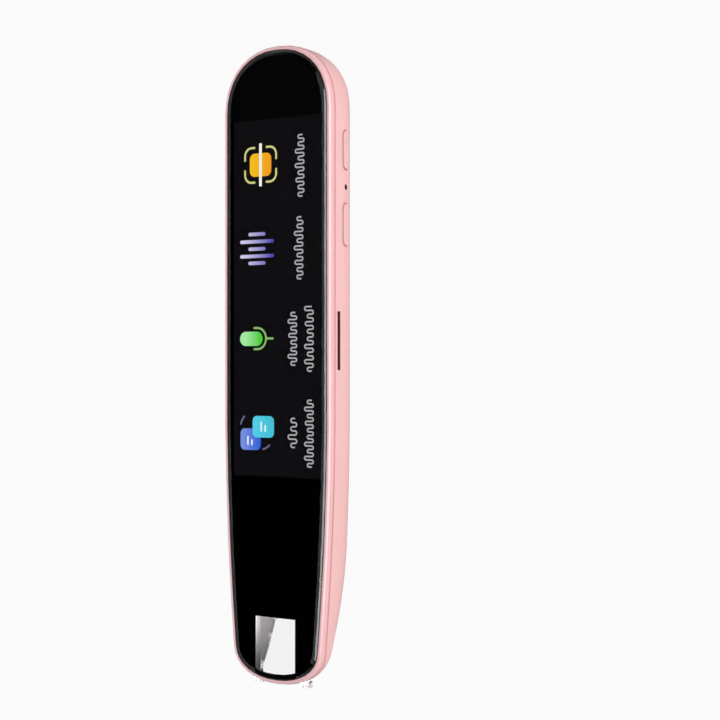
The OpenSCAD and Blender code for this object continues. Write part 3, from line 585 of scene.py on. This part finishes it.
# Turned screws: rings round their axis under bluish zinc.
SCREW = SheetMetal("zinc_plated_screw_turned", "#B4B6BA", 0.3, stretch=(1.0, 1.0, 0.1))
# Drawn wire: an even silver glint on each coil.
WIRE = SheetMetal("spring_wire_drawn", "#B9BBBF", 0.25, stretch=(1.0, 1.0, 1.0))
# Laminated foil: crumpled silver with soft broad glints.
FOIL = SheetMetal("battery_foil_laminated", "#C4C8CC", 0.4, grain_mm=1.2, stretch=(1, 1, 1))
# Green lacquer on glass fibre: tracks shine through it.
BOARD = SolderMask("FR4_green_mask", "#17573A", 0.35)
# White lacquer, which throws the scan lights forward.
WHITE_BOARD = SolderMask("FR4_white_mask", "#E9E9E2", 0.4, track="#DADAD0")
# Moulded epoxy: charcoal with a sandy face.
RESIN = MouldedPlastic(
    "epoxy_chip_moulded", "#1D1E20", 0.55, cloud="#28292B", grain_mm=0.5, grain_deep=0.03
)
# Liquid crystal polymer: dark, smooth and slightly streaky.
SWITCH_CASE = MouldedPlastic("LCP_switch_moulded", "#2B2B2D", 0.5, cloud="#343437")
# Acetal: milky white and waxy.
PLUNGER = MouldedPlastic("POM_plunger_moulded", "#E7E6E1", 0.45, cloud="#DEDDD6")
# Nylon: cream coloured with a dull skin.
NYLON = MouldedPlastic("nylon_plug_moulded", "#ECE7DB", 0.5, cloud="#E2DCCD")
# Polyimide film: glossy amber.
POLYIMIDE = MouldedPlastic("polyimide_film_laminated", "#B9701F", 0.3, cloud="#A05E16")
# Speaker basket: dark engineering plastic.
BASKET = MouldedPlastic("PBT_speaker_moulded", "#18181A", 0.5, cloud="#222225")
# Camera housing: black, grained against stray light.
HOUSING = MouldedPlastic("PC_camera_moulded", "#121214", 0.6, cloud="#1A1A1C")
# Cast lamp bodies: warm yellow-white drops with a wet gloss.
LED = MouldedPlastic("epoxy_lamp_cast", "#FFF3D2", 0.2, cloud="#FFFBEF", coat=0.6)
# Woven polyester: dark threads with darker holes.
MESH = WovenMesh("polyester_mesh_woven", "#6B3A42", 0.8)


# ---- Modelling helpers ----


def deselect() -> None:
    """Leaves nothing selected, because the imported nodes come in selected."""
    bpy.ops.object.select_all(action="DESELECT")


def start(name: str) -> bpy.types.Object:
    """Names the new active object and its mesh.

    Args:
        name: Name of the piece.

    Returns:
        The object.
    """
    piece = bpy.context.active_object
    piece.name = name
    piece.data.name = name
    return piece


def settle(piece: bpy.types.Object, finish: Finish) -> bpy.types.Object:
    """Puts a finished piece's place into its mesh, closes and dresses it, and rides the case.

    Args:
        piece: The modelled object.
        finish: Its finish.

    Returns:
        The piece.
    """
    deselect()
    piece.select_set(True)
    bpy.context.view_layer.objects.active = piece
    bpy.ops.object.transform_apply(location=True, rotation=True, scale=True)
    bpy.ops.object.mode_set(mode="EDIT")
    bpy.ops.mesh.select_all(action="SELECT")
    bpy.ops.mesh.remove_doubles(threshold=1e-6)
    bpy.ops.mesh.normals_make_consistent(inside=False)
    bpy.ops.object.mode_set(mode="OBJECT")
    piece.data.materials.clear()
    piece.data.materials.append(finish.material())
    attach(piece, Body.CASE.value)
    LOG.info("piece %s: %d faces", piece.name, len(piece.data.polygons))
    return piece


def joined(name: str, parts: list[bpy.types.Object]) -> bpy.types.Object:
    """Joins equal small parts of one piece into one object.

    Args:
        name: Name of the piece.
        parts: Objects to join.

    Returns:
        The joined object.
    """
    deselect()
    for part in parts:
        part.select_set(True)
    bpy.context.view_layer.objects.active = parts[0]
    if len(parts) > 1:
        bpy.ops.object.join()
    return start(name)


@dataclass
class ImagePlane:
    """The thin layer between the display and the glass in which the lit image is built."""

    z: float = 14.165
    thick: float = 0.02

    def tile(self, middle: Pair, size: Pair, round_mm: float) -> bpy.types.Object:
        """Models a rounded tile: a plane with bevelled corners, extruded.

        Args:
            middle: Its middle, in millimetres.
            size: Its size along X and Y.
            round_mm: Radius of its corners.

        Returns:
            The tile.
        """
        deselect()
        bpy.ops.mesh.primitive_plane_add(
            size=1, location=(middle[0] * MM, middle[1] * MM, self.z * MM)
        )
        piece = bpy.context.active_object
        piece.scale = (size[0] * MM, size[1] * MM, 1)
        bpy.ops.object.transform_apply(location=False, rotation=False, scale=True)
        bpy.ops.object.mode_set(mode="EDIT")
        bpy.ops.mesh.select_all(action="SELECT")
        bpy.ops.mesh.bevel(
            offset=round_mm * MM, segments=7, affect="VERTICES", profile=0.5
        )
        bpy.ops.mesh.select_all(action="SELECT")
        bpy.ops.mesh.extrude_region_move(
            TRANSFORM_OT_translate={"value": (0, 0, self.thick * MM)}
        )
        bpy.ops.object.mode_set(mode="OBJECT")
        return piece

    def stroke(
        self,
        begin: Pair,
        heading: float,
        width: float,
        steps: list[Pair],
    ) -> bpy.types.Object:
        """Models a bent stroke by extruding its end and turning it.

        Args:
            begin: Where the middle of the stroke starts, in millimetres.
            heading: Starting direction in degrees from +X.
            width: Width of the stroke.
            steps: For each step a length, or a radius and an angle: (length, 0) goes straight
                on, and (radius, angle) turns by the angle round a centre at the radius.

        Returns:
            The stroke.
        """
        deselect()
        turn = math.radians(heading)
        middle = Vector((begin[0] * MM, begin[1] * MM, (self.z + self.thick / 2) * MM))
        bpy.ops.mesh.primitive_plane_add(
            size=1, location=middle, rotation=(math.pi / 2, 0, turn + math.pi / 2)
        )
        piece = bpy.context.active_object
        piece.scale = (width * MM, self.thick * MM, 1)
        bpy.ops.object.transform_apply(location=True, rotation=True, scale=True)
        bpy.ops.object.mode_set(mode="EDIT")
        bpy.ops.mesh.select_all(action="SELECT")
        for size, angle in steps:
            ahead = Vector((math.cos(turn), math.sin(turn), 0))
            if angle == 0:
                step = ahead * size * MM
                bpy.ops.mesh.extrude_region_move(TRANSFORM_OT_translate={"value": step})
                middle = middle + step
                continue
            side = math.copysign(1, angle)
            left = Vector((-ahead.y, ahead.x, 0)) * side
            centre = middle + left * size * MM
            bpy.ops.mesh.spin(
                steps=max(3, round(abs(angle) / 12)),
                angle=-math.radians(angle),
                center=centre,
                axis=(0, 0, 1),
            )
            turn += math.radians(angle)
            ahead = Vector((math.cos(turn), math.sin(turn), 0))
            middle = centre - Vector((-ahead.y, ahead.x, 0)) * side * size * MM
        bpy.ops.object.mode_set(mode="OBJECT")
        return piece


@dataclass
class ScreenImage:
    """The lit image: four functions, each with an icon and one or two greeked lines."""

    plane: ImagePlane = field(default_factory=ImagePlane)
    slot: str = "display_stack"
    stroke_w: float = 0.5
    wave_w: float = 0.34
    wave_pitch: float = 0.8
    wave_heights: tuple[float, ...] = (2.8, 2.0, 2.0, 2.6, 2.0, 2.8, 2.0)

    def show(self, name: str, parts: list[bpy.types.Object], finish: Finish) -> None:
        """Joins the parts of one piece of the image and settles it.

        Args:
            name: Name of the piece.
            parts: Its parts.
            finish: Its light.
        """
        settle(joined(name, parts), finish)

    def build(self) -> None:
        """Builds every icon and line."""
        self.scan_icon()
        self.sound_icon()
        self.voice_icon()
        self.swap_icon()
        self.lines()

    def scan_icon(self) -> None:
        """Four corner brackets, an orange tile and a white scan line."""
        middle, half, arm, turn = (-4.83, 47.3), (4.65, 4.1), 1.15, 1.9
        brackets = []
        for sx in (-1, 1):
            for sy in (-1, 1):
                begin = (
                    middle[0] + sx * (half[0] - turn - arm),
                    middle[1] + sy * half[1],
                )
                bend = -sx * sy * 90
                brackets.append(
                    self.plane.stroke(
                        begin,
                        0 if sx > 0 else 180,
                        self.stroke_w,
                        [(arm, 0), (turn, bend), (arm, 0)],
                    )
                )
        self.show("screen_scan_brackets", brackets, LitPixels("pixels_pale_yellow", "#D9D98A"))
        self.show(
            "screen_scan_tile",
            [self.plane.tile(middle, (6.4, 5.5), 1.4)],
            LitPixels("pixels_orange", "#FFC61F", fade="#F7A41C", fade_x=(-8, -2)),
        )
        above = ImagePlane(self.plane.z + self.plane.thick, 0.01)
        self.show(
            "screen_scan_line",
            [above.tile(middle, (0.8, 10.2), 0.2)],
            LitPixels("pixels_white", "#FFFBEF"),
        )

    def sound_icon(self) -> None:
        """Five level bars that fade from white to violet."""
        rows = [(30.95, 5.1), (29.2, 10.1), (27.45, 5.1), (25.75, 10.1), (24.1, 5.1)]
        bars = [self.plane.tile((-5.9, y), (width, 0.84), 0.4) for y, width in rows]
        self.show(
            "screen_sound_bars",
            bars,
            LitPixels("pixels_violet_fade", "#DCD8F4", fade="#5348B8", fade_x=(-10.5, -1.5)),
        )

    def voice_icon(self) -> None:
        """A microphone: a green capsule, an arc round its base and a stem."""
        self.show(
            "screen_voice_capsule",
            [self.plane.tile((-7.6, 6.2), (6.8, 3.4), 1.69)],
            LitPixels("pixels_green_fade", "#A9F3A6", fade="#4CD032", fade_x=(-9.5, -4.8)),
        )
        arc = self.plane.stroke((-6.9, 8.75), 0, self.stroke_w, [(1.2, 0), (2.5, -180), (1.2, 0)])
        stem = self.plane.stroke((-3.1, 6.25), 0, self.stroke_w, [(2.1, 0)])
        self.show("screen_voice_stand", [arc, stem], LitPixels("pixels_soft_green", "#8FBF6E"))

    def swap_icon(self) -> None:
        """Two overlapping tiles with a plain mark each, and two swap strokes."""
        above = ImagePlane(self.plane.z + self.plane.thick, 0.01)
        top = ImagePlane(above.z + above.thick, 0.006)
        self.show(
            "screen_swap_tile_blue",
            [self.plane.tile((-7.8, -17.6), (6.1, 5.1), 1.25)],
            LitPixels("pixels_blue_fade", "#7C97EA", fade="#2F63DC", fade_x=(-10.5, -5)),
        )
        self.show(
            "screen_swap_tile_cyan",
            [above.tile((-4.0, -14.6), (6.4, 5.1), 1.25)],
            LitPixels("pixels_cyan_fade", "#56D6F0", fade="#45C6DA", fade_x=(-7, -1)),
        )
        marks = [
            top.tile((x, y), (0.42, length), 0.2)
            for x, y, length in (
                (-4.6, -14.6, 2.4),
                (-3.4, -15.0, 1.6),
                (-8.6, -17.9, 2.2),
                (-7.4, -18.3, 1.4),
            )
        ]
        self.show("screen_swap_marks", marks, LitPixels("pixels_mark", "#F4FBFF"))
        strokes = [
            self.plane.stroke((-10.8, -14.2), 80, 0.4, [(3.4, -42)]),
            self.plane.stroke((-4.2, -19.9), 8, 0.4, [(3.4, 42)]),
        ]
        self.show("screen_swap_strokes", strokes, LitPixels("pixels_dim_lilac", "#6E6A94"))

    def lines(self) -> None:
        """Greeked lines: waves of a few heights stand for the words, so none is written."""
        rows = [
            (8.1, 39.1, 53.7),
            (7.8, 19.9, 34.6),
            (6.0, -0.2, 12.4),
            (10.8, -1.6, 13.7),
            (6.0, -19.4, -12.3),
            (10.8, -23.8, -8.0),
        ]
        waves = []
        for x, low, high in rows:
            count = round((high - low - self.wave_w) / (2 * self.wave_pitch))
            turn = (high - low - self.wave_w) / (2 * count - 1) / 2
            steps: list[Pair] = []
            for i in range(count):
                rise = self.wave_heights[(i + round(x)) % len(self.wave_heights)]
                rise -= 2 * turn + self.wave_w
                steps += [(rise, 0), (turn, -90), (turn, -90), (rise, 0)]
                if i < count - 1:
                    steps += [(turn, 90), (turn, 90)]
            begin = (x - turn - self.wave_w / 2, low + self.wave_w / 2)
            waves.append(self.plane.stroke(begin, 180, self.wave_w, steps))
        self.show("screen_lines", waves, LitPixels("pixels_grey", "#B4B4B8"))


# ---- Sub-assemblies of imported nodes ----


def smooth_group(sharp_deg: float) -> Tree:
    """Builds the node group that joins loose facets and shades them smooth by angle.

    Args:
        sharp_deg: Edges that turn by more than this stay sharp.

    Returns:
        The group, built once for each angle.
    """
    name = f"smooth_facets_{sharp_deg:.0f}"
    if name in bpy.data.node_groups:
        return bpy.data.node_groups[name]
    merge = 1e-6
    group = bpy.data.node_groups.new(name, "GeometryNodeTree")
    for way in ("INPUT", "OUTPUT"):
        group.interface.new_socket("Geometry", in_out=way, socket_type="NodeSocketGeometry")
    mesh = add_node(group, "NodeGroupInput")
    mesh = add_node(
        group, "GeometryNodeRemoveAttribute", {"Geometry": mesh, "Name": "custom_normal"}
    )
    mesh = add_node(group, "GeometryNodeMergeByDistance", {"Geometry": mesh, "Distance": merge})
    angle = add_node(group, "GeometryNodeInputMeshEdgeAngle", out="Unsigned Angle")
    limit = {"A": angle, "B": math.radians(sharp_deg)}
    sharp = add_node(group, "FunctionNodeCompare", limit, operation="GREATER_THAN")
    kind = "GeometryNodeSetShadeSmooth"
    mesh = add_node(group, kind, {"Geometry": mesh, "Shade Smooth": True}, domain="FACE")
    edges = {"Geometry": mesh, "Selection": sharp, "Shade Smooth": False}
    mesh = add_node(group, kind, edges, domain="EDGE")
    add_node(group, "NodeGroupOutput", {"Geometry": mesh})
    return group


@dataclass
class SubAssembly:
    """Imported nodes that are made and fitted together. Sizes are in millimetres."""

    sharp_deg: float = 32.0

    def finishes(self) -> dict[str, Finish]:
        """Gives the finish of each node.

        Returns:
            Finishes by node name.
        """
        raise NotImplementedError

    def dress(self) -> set[str]:
        """Gives each node its finish and its smooth shading.

        Returns:
            The nodes that were dressed.
        """
        smooth = smooth_group(self.sharp_deg)
        for name, finish in self.finishes().items():
            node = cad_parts[name]
            node.modifiers.new("smooth_facets", "NODES").node_group = smooth
            made = finish.material()
            if node.material_slots:
                node.material_slots[0].material = made
            else:
                node.data.materials.append(made)
            LOG.info("node %s: %s", name, made.name)
        return set(self.finishes())


# Painted shade in the scan chamber: grey walls that darken towards the tip, where less light
# reaches.
CHAMBER_PAINTED_SHADE: Stops = (
    (-71.5, "#2E2E2E"),
    (-69.0, "#4C4C4C"),
    (-66.0, "#7C7C7C"),
    (-63.0, "#A8A8A8"),
    (-60.0, "#CFCFCF"),
)


@dataclass(frozen=True)
class Key:
    """Place and half size of one key along Y and Z."""

    at: Pair
    half: Pair


POWER_KEY = Key((49.9, 8.5), (4.4, 1.2))
FUNCTION_KEY = Key((32.6, 8.5), (4.85, 1.2))


@dataclass
class Case(SubAssembly):
    """Rear shell, front frame and speaker cover, with the shades inside their openings."""

    split_z: float = 13.12
    chamber: Pair = (-66.2, 8.8)
    chamber_x: float = 7.62
    slot_at: Pair = (5.6, 11.54)
    slot_half: Pair = (6.78, 0.6)
    hole_at: Pair = (41.3, 8.4)
    hole_half: float = 0.67
    key_edge: float = 0.2
    key_soft: float = 0.45
    inner_x: float = 13.0
    outer_x: float = 16.0
    key_inner_x: float = 12.9
    key_outer_x: float = 16.1
    # Box of the painted shade on the frame's lip round the window.
    lip_middle: Point = (0, -65.3, 13.6)
    lip_half: Point = (6.6, 8.0, 1.2)
    parting_half: Point = (20, 90, 0.12)
    parting_soft: Point = (1, 1, 0.35)
    # Reach of the painted shade on the shell's chamber walls, fading out towards the back.
    chamber_shade_z: float = 16.0
    chamber_shade_half_z: float = 10.0
    chamber_shade_soft: Point = (HARD, HARD, 2.0)

    def opening(self, at: Pair, half: Pair, code: str, corner: float = 0.0) -> Area:
        """Describes the shade inside an opening in the +X wall.

        Args:
            at: Its middle along Y and Z.
            half: Its half size along Y and Z.
            code: Colour of its walls.
            corner: Its corner radius.

        Returns:
            The area.
        """
        middle_x, half_x = (self.inner_x + self.outer_x) / 2, (self.outer_x - self.inner_x) / 2
        return Area((middle_x, *at), (half_x, *half), ((0, code),), corner=corner)

    def key_shade(self, key: Key) -> Area:
        """Describes the shade in the gap round a key and on the rounded edge of its opening.

        Args:
            key: The key.

        Returns:
            The area.
        """
        half = [value + self.key_edge for value in key.half]
        middle_x = (self.key_inner_x + self.key_outer_x) / 2
        half_x = (self.key_outer_x - self.key_inner_x) / 2
        return Area(
            (middle_x, *key.at),
            (half_x, *half),
            ((0, "#C98F8D"),),
            (HARD, self.key_soft, self.key_soft),
            corner=half[1],
        )

    def parting(self) -> Area:
        """Describes the painted shade along the line where shell and frame meet.

        Returns:
            The area.
        """
        # Painted shade: a soft darker band along the parting line.
        stops = ((0, "#E2A8A6"),)
        return Area((0, 0, self.split_z), self.parting_half, stops, self.parting_soft)

    def finishes(self) -> dict[str, Finish]:
        """Gives the finish of each node, with its shaded places.

        Returns:
            Finishes by node name.
        """
        middle_y, half_y = self.chamber
        # Painted shade on the chamber walls: grey, darker towards the tip.
        painted = Area(
            (0, middle_y, self.chamber_shade_z),
            (self.chamber_x, half_y, self.chamber_shade_half_z),
            CHAMBER_PAINTED_SHADE,
            self.chamber_shade_soft,
        )
        # Painted shade on the frame's lip round the window, the same grey gradient.
        lip = Area(self.lip_middle, self.lip_half, CHAMBER_PAINTED_SHADE)
        hole = self.hole_half
        shell = (
            self.parting(),
            painted,
            self.opening(self.slot_at, self.slot_half, "#6B4035"),
            self.opening(self.hole_at, (hole, hole), "#5A3A36", corner=hole),
            self.key_shade(POWER_KEY),
            self.key_shade(FUNCTION_KEY),
        )
        return {
            "rear_shell": replace(PINK, areas=shell),
            "front_frame": replace(PINK_TRIM, areas=(self.parting(), lip)),
            "speaker_cover": PINK_COVER,
        }


@dataclass
class Keys(SubAssembly):
    """The two side keys and the plungers that they press."""

    def finishes(self) -> dict[str, Finish]:
        """Gives the finish of each node.

        Returns:
            Finishes by node name.
        """
        return {
            "power_key": PINK_KEY,
            "function_key": PINK_KEY,
            "power_switch": SWITCH_CASE,
            "function_switch": SWITCH_CASE,
            "power_switch_plunger": PLUNGER,
            "function_switch_plunger": PLUNGER,
        }


@dataclass
class GlassFront(SubAssembly):
    """Cover glass with its print, tape and seal, and the clear window at the tip."""

    sharp_deg: float = 9.0
    window_x: float = 5.8
    window_y: Pair = (-75.0, -58.9)
    glass_z: Pair = (14.2, 15.2)
    cut_half_z: float = 0.47
    cut_gap: float = 0.2
    face_half: float = 0.03
    # Band of painted sheen: the print at the top end is lighter than elsewhere.
    top_sheen_middle: Point = (0, 67.0, 14.2)
    top_sheen_half: Point = (16, 9.3, 1)

    def finishes(self) -> dict[str, Finish]:
        """Gives the finish of each node, with the inked cut in the glass, painted shade on the
        window's edges and a painted sheen on the print's top end.

        Returns:
            Finishes by node name.
        """
        low, high = self.window_y
        middle = ((low + high) / 2, sum(self.glass_z) / 2)
        half = ((high - low) / 2, self.cut_half_z)
        cut = Area((0, *middle), (self.window_x + self.cut_gap, *half), ((0, "#060606"),))
        # Painted shade on the window's side edges: grey, darker towards the tip.
        edges = tuple(
            Area((side * self.window_x, *middle), (self.face_half, *half), CHAMBER_PAINTED_SHADE)
            for side in (-1, 1)
        )
        # Painted sheen: the print past the display's top end is lighter than the rest.
        top_sheen = Area(self.top_sheen_middle, self.top_sheen_half, ((0, "#101012"),))
        return {
            "front_glass": replace(COVER_GLASS, areas=(cut,)),
            "glass_print": replace(INK, areas=(top_sheen,)),
            "glass_seal": SEAL,
            "glass_tape": BLACK_TAPE,
            "scan_window": replace(WINDOW, areas=edges),
        }


@dataclass
class Display(SubAssembly):
    """Display cell, backlight and flat cable."""

    def finishes(self) -> dict[str, Finish]:
        """Gives the finish of each node.

        Returns:
            Finishes by node name.
        """
        return {
            "display_cell": PANEL,
            "display_backlight": STEEL,
            "display_cable": POLYIMIDE,
        }


@dataclass
class Sound(SubAssembly):
    """Speaker with its mesh and gasket, and the microphone in its boot."""

    def finishes(self) -> dict[str, Finish]:
        """Gives the finish of each node.

        Returns:
            Finishes by node name.
        """
        return {
            "speaker_mesh": MESH,
            "speaker_gasket": FOAM,
            "speaker": BASKET,
            "microphone": TIN,
            "microphone_boot": RUBBER,
        }


@dataclass
class Board(SubAssembly):
    """Main board with its chips, sockets and screws."""

    def finishes(self) -> dict[str, Finish]:
        """Gives the finish of each node.

        Returns:
            Finishes by node name.
        """
        return {
            "main_board": BOARD,
            "board_screws": SCREW,
            "processor": RESIN,
            "memory_chips": RESIN,
            "shield_can": TIN,
            "usb_c_socket": TIN,
            "card_socket": TIN,
        }


@dataclass
class Power(SubAssembly):
    """Battery with its tape and plug."""

    def finishes(self) -> dict[str, Finish]:
        """Gives the finish of each node.

        Returns:
            Finishes by node name.
        """
        return {"battery": FOIL, "battery_tape": TAPE, "battery_connector": NYLON}


@dataclass
class ScanHead(SubAssembly):
    """Camera, lights and the sprung clear nib at the tip."""

    def finishes(self) -> dict[str, Finish]:
        """Gives the finish of each node.

        Returns:
            Finishes by node name.
        """
        return {
            "scan_camera": HOUSING,
            "camera_lens": LENS,
            "light_board": WHITE_BOARD,
            "scan_lights": LED,
            "scan_nib": CLEAR_NIB,
            "nib_springs": WIRE,
            "nib_switch": SWITCH_CASE,
            "nib_switch_plunger": PLUNGER,
        }


def dress_nodes() -> None:
    """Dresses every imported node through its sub-assembly, and stops if one is left bare."""
    dressed: set[str] = set()
    for kind in (Case, Keys, GlassFront, Display, Sound, Board, Power, ScanHead):
        dressed |= kind().dress()
    bare = set(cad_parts) - dressed
    if bare:
        raise RuntimeError(f"nodes without a finish: {sorted(bare)}")


# ---- Studio ----


@dataclass
class Studio:
    """Pale floor, soft lamps, plain surroundings and the camera."""

    tilt_deg: float = 37.0
    distance: float = 429.4 * MM
    axis_z: float = 7.9 * MM
    lens: float = 90.34
    shift: Pair = (0.0918, 0.0069)
    floor_half: float = 3.0
    floor_z: float = -0.05 * MM
    paper: str = "#868686"
    paper_glow: float = 0.95

    def floor(self) -> None:
        """Adds the floor: near white with the shadow, and clear to the eye and lamps below it."""
        deselect()
        bpy.ops.mesh.primitive_plane_add(
            size=2 * self.floor_half, location=(0, 0, self.floor_z)
        )
        piece = start("studio_floor")
        made = bpy.data.materials.new("paper_floor_matt")
        made.use_nodes = True
        tree = made.node_tree
        tree.nodes.clear()
        paper = add_node(tree, "ShaderNodeBsdfDiffuse", {"Color": linear(self.paper)})
        glow = add_node(tree, "ShaderNodeEmission", {"Color": (1, 1, 1, 1), "Strength": 1.0})
        path = add_node(tree, "ShaderNodeLightPath").node.outputs
        sockets = {0: path["Is Camera Ray"], 1: path["Is Transmission Ray"]}
        seen = add_node(tree, "ShaderNodeMath", sockets, operation="MAXIMUM")
        share = {0: seen, 1: self.paper_glow}
        share = add_node(tree, "ShaderNodeMath", share, operation="MULTIPLY")
        top = add_node(tree, "ShaderNodeMixShader", {0: share, 1: paper, 2: glow})
        under = add_node(tree, "ShaderNodeNewGeometry", out="Backfacing")
        sockets = {0: under, 1: path["Is Shadow Ray"]}
        under = add_node(tree, "ShaderNodeMath", sockets, operation="MAXIMUM")
        clear = add_node(tree, "ShaderNodeBsdfTransparent")
        mixed = add_node(tree, "ShaderNodeMixShader", {0: under, 1: top, 2: clear})
        add_node(tree, "ShaderNodeOutputMaterial", {"Surface": mixed})
        piece.data.materials.append(made)

    def surroundings(self) -> None:
        """White to the eye, softly lit from all round, with a darker ceiling in reflections."""
        world = bpy.data.worlds.new("studio")
        bpy.context.scene.world = world
        world.use_nodes = True
        tree = world.node_tree
        tree.nodes.clear()
        way = add_node(tree, "ShaderNodeTexCoord", out="Generated")
        axes = add_node(tree, "ShaderNodeSeparateXYZ", {0: way}).node.outputs
        rise = ((0.0, "#FFFFFF"), (0.45, "#C8C8C8"), (0.72, "#060606"))
        low = add_node(tree, "ShaderNodeValToRGB", {"Fac": axes[2]}, stops=rise)
        across = ((0.0, "#060606"), (0.2, "#606060"), (0.6, "#FFFFFF"))
        side = add_node(tree, "ShaderNodeValToRGB", {"Fac": axes[0]}, stops=across)
        mix, rgb = "ShaderNodeMix", {"out": 2, "data_type": "RGBA"}
        sockets = {"Factor": 1.0, 6: low, 7: side}
        mirrored = add_node(tree, mix, sockets, blend_type="LIGHTEN", **rgb)
        path = add_node(tree, "ShaderNodeLightPath").node.outputs
        glossy, clear = path["Is Glossy Ray"], path["Is Transmission Ray"]
        soft = add_node(tree, mix, {"Factor": glossy, 6: linear("#B4B4B4"), 7: mirrored}, **rgb)
        glass = add_node(tree, mix, {"Factor": clear, 6: soft, 7: mirrored}, **rgb)
        inner = {0: path["Glossy Depth"], 1: 0.5}
        inner = add_node(tree, "ShaderNodeMath", inner, operation="LESS_THAN")
        through = add_node(tree, "ShaderNodeMath", {0: clear, 1: inner}, operation="MULTIPLY")
        seen = {0: path["Is Camera Ray"], 1: through}
        seen = add_node(tree, "ShaderNodeMath", seen, operation="ADD", use_clamp=True)
        colour = add_node(tree, mix, {"Factor": seen, 6: glass, 7: linear("#FFFFFF")}, **rgb)
        back = add_node(tree, "ShaderNodeBackground", {"Color": colour, "Strength": 1.0})
        add_node(tree, "ShaderNodeOutputWorld", {"Surface": back})

    def lamp(
        self, name: str, place: Point, size: Pair, watts: float, kind: Lamp = Lamp.BOX
    ) -> None:
        """Adds a soft box that points at the pen.

        Args:
            name: Name of the lamp.
            place: Where it hangs, in metres.
            size: Its length along the pen, and its other size, in metres.
            watts: Its power.
            kind: What it does.
        """
        data = bpy.data.lights.new(name, "AREA")
        data.shape = "RECTANGLE"
        data.size, data.size_y = size
        data.energy = watts
        lamp = bpy.data.objects.new(name, data)
        lamp.location = place
        lamp.rotation_euler = (-Vector(place)).to_track_quat("-Z", "Y").to_euler()
        lamp.visible_diffuse = kind is not Lamp.CARD
        lamp.visible_glossy = kind is not Lamp.WASH
        bpy.context.scene.collection.objects.link(lamp)

    def lamps(self) -> None:
        """Hangs the key lamp, washes for the other sides, and cards for the glass's bevels."""
        self.lamp("key_box", (0.66, 0.1, 0.24), (0.7, 0.3), 4.3)
        self.lamp("back_wash", (0.0, 0.7, 0.3), (0.6, 0.2), 0.6, Lamp.WASH)
        self.lamp("tip_wash", (0.0, -0.7, 0.3), (0.6, 0.2), 0.9, Lamp.WASH)
        self.lamp("left_wash", (-0.65, 0.0, 0.16), (0.7, 0.16), 2.8, Lamp.WASH)
        self.lamp("under_wash", (0.0, 0.0, -0.7), (0.7, 0.4), 4.0, Lamp.WASH)
        self.lamp("side_card", (0.41, 0.0, 0.57), (0.7, 0.16), 2.6, Lamp.CARD)
        self.lamp("top_card", (-0.13, 0.0, 0.69), (0.7, 0.1), 0.18, Lamp.CARD)
        self.lamp("left_card", (-0.65, 0.0, 0.16), (0.7, 0.16), 1.6, Lamp.CARD)

    def camera(self) -> None:
        """Sets the camera square to the pen's length, tilted to the side with the keys."""
        data = bpy.data.cameras.new("camera")
        data.sensor_width = 36
        data.lens = self.lens
        data.shift_x, data.shift_y = self.shift
        data.clip_start, data.clip_end = 0.01, 20
        camera = bpy.data.objects.new("camera", data)
        tilt = math.radians(self.tilt_deg)
        back = Vector((math.sin(tilt), 0, math.cos(tilt)))
        camera.location = Vector((0, 0, self.axis_z)) + back * self.distance
        camera.rotation_euler = (0, tilt, 0)
        bpy.context.scene.collection.objects.link(camera)
        bpy.context.scene.camera = camera

    def build(self) -> None:
        """Builds the whole studio."""
        self.floor()
        self.surroundings()
        self.lamps()
        self.camera()
        bpy.context.scene.view_settings.view_transform = "Standard"


def main() -> None:
    """Builds the studio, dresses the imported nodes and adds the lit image."""
    logging.basicConfig(level=logging.INFO, format="%(name)s: %(message)s")
    Studio().build()
    dress_nodes()
    ScreenImage().build()


if __name__ == "__main__":
    main()
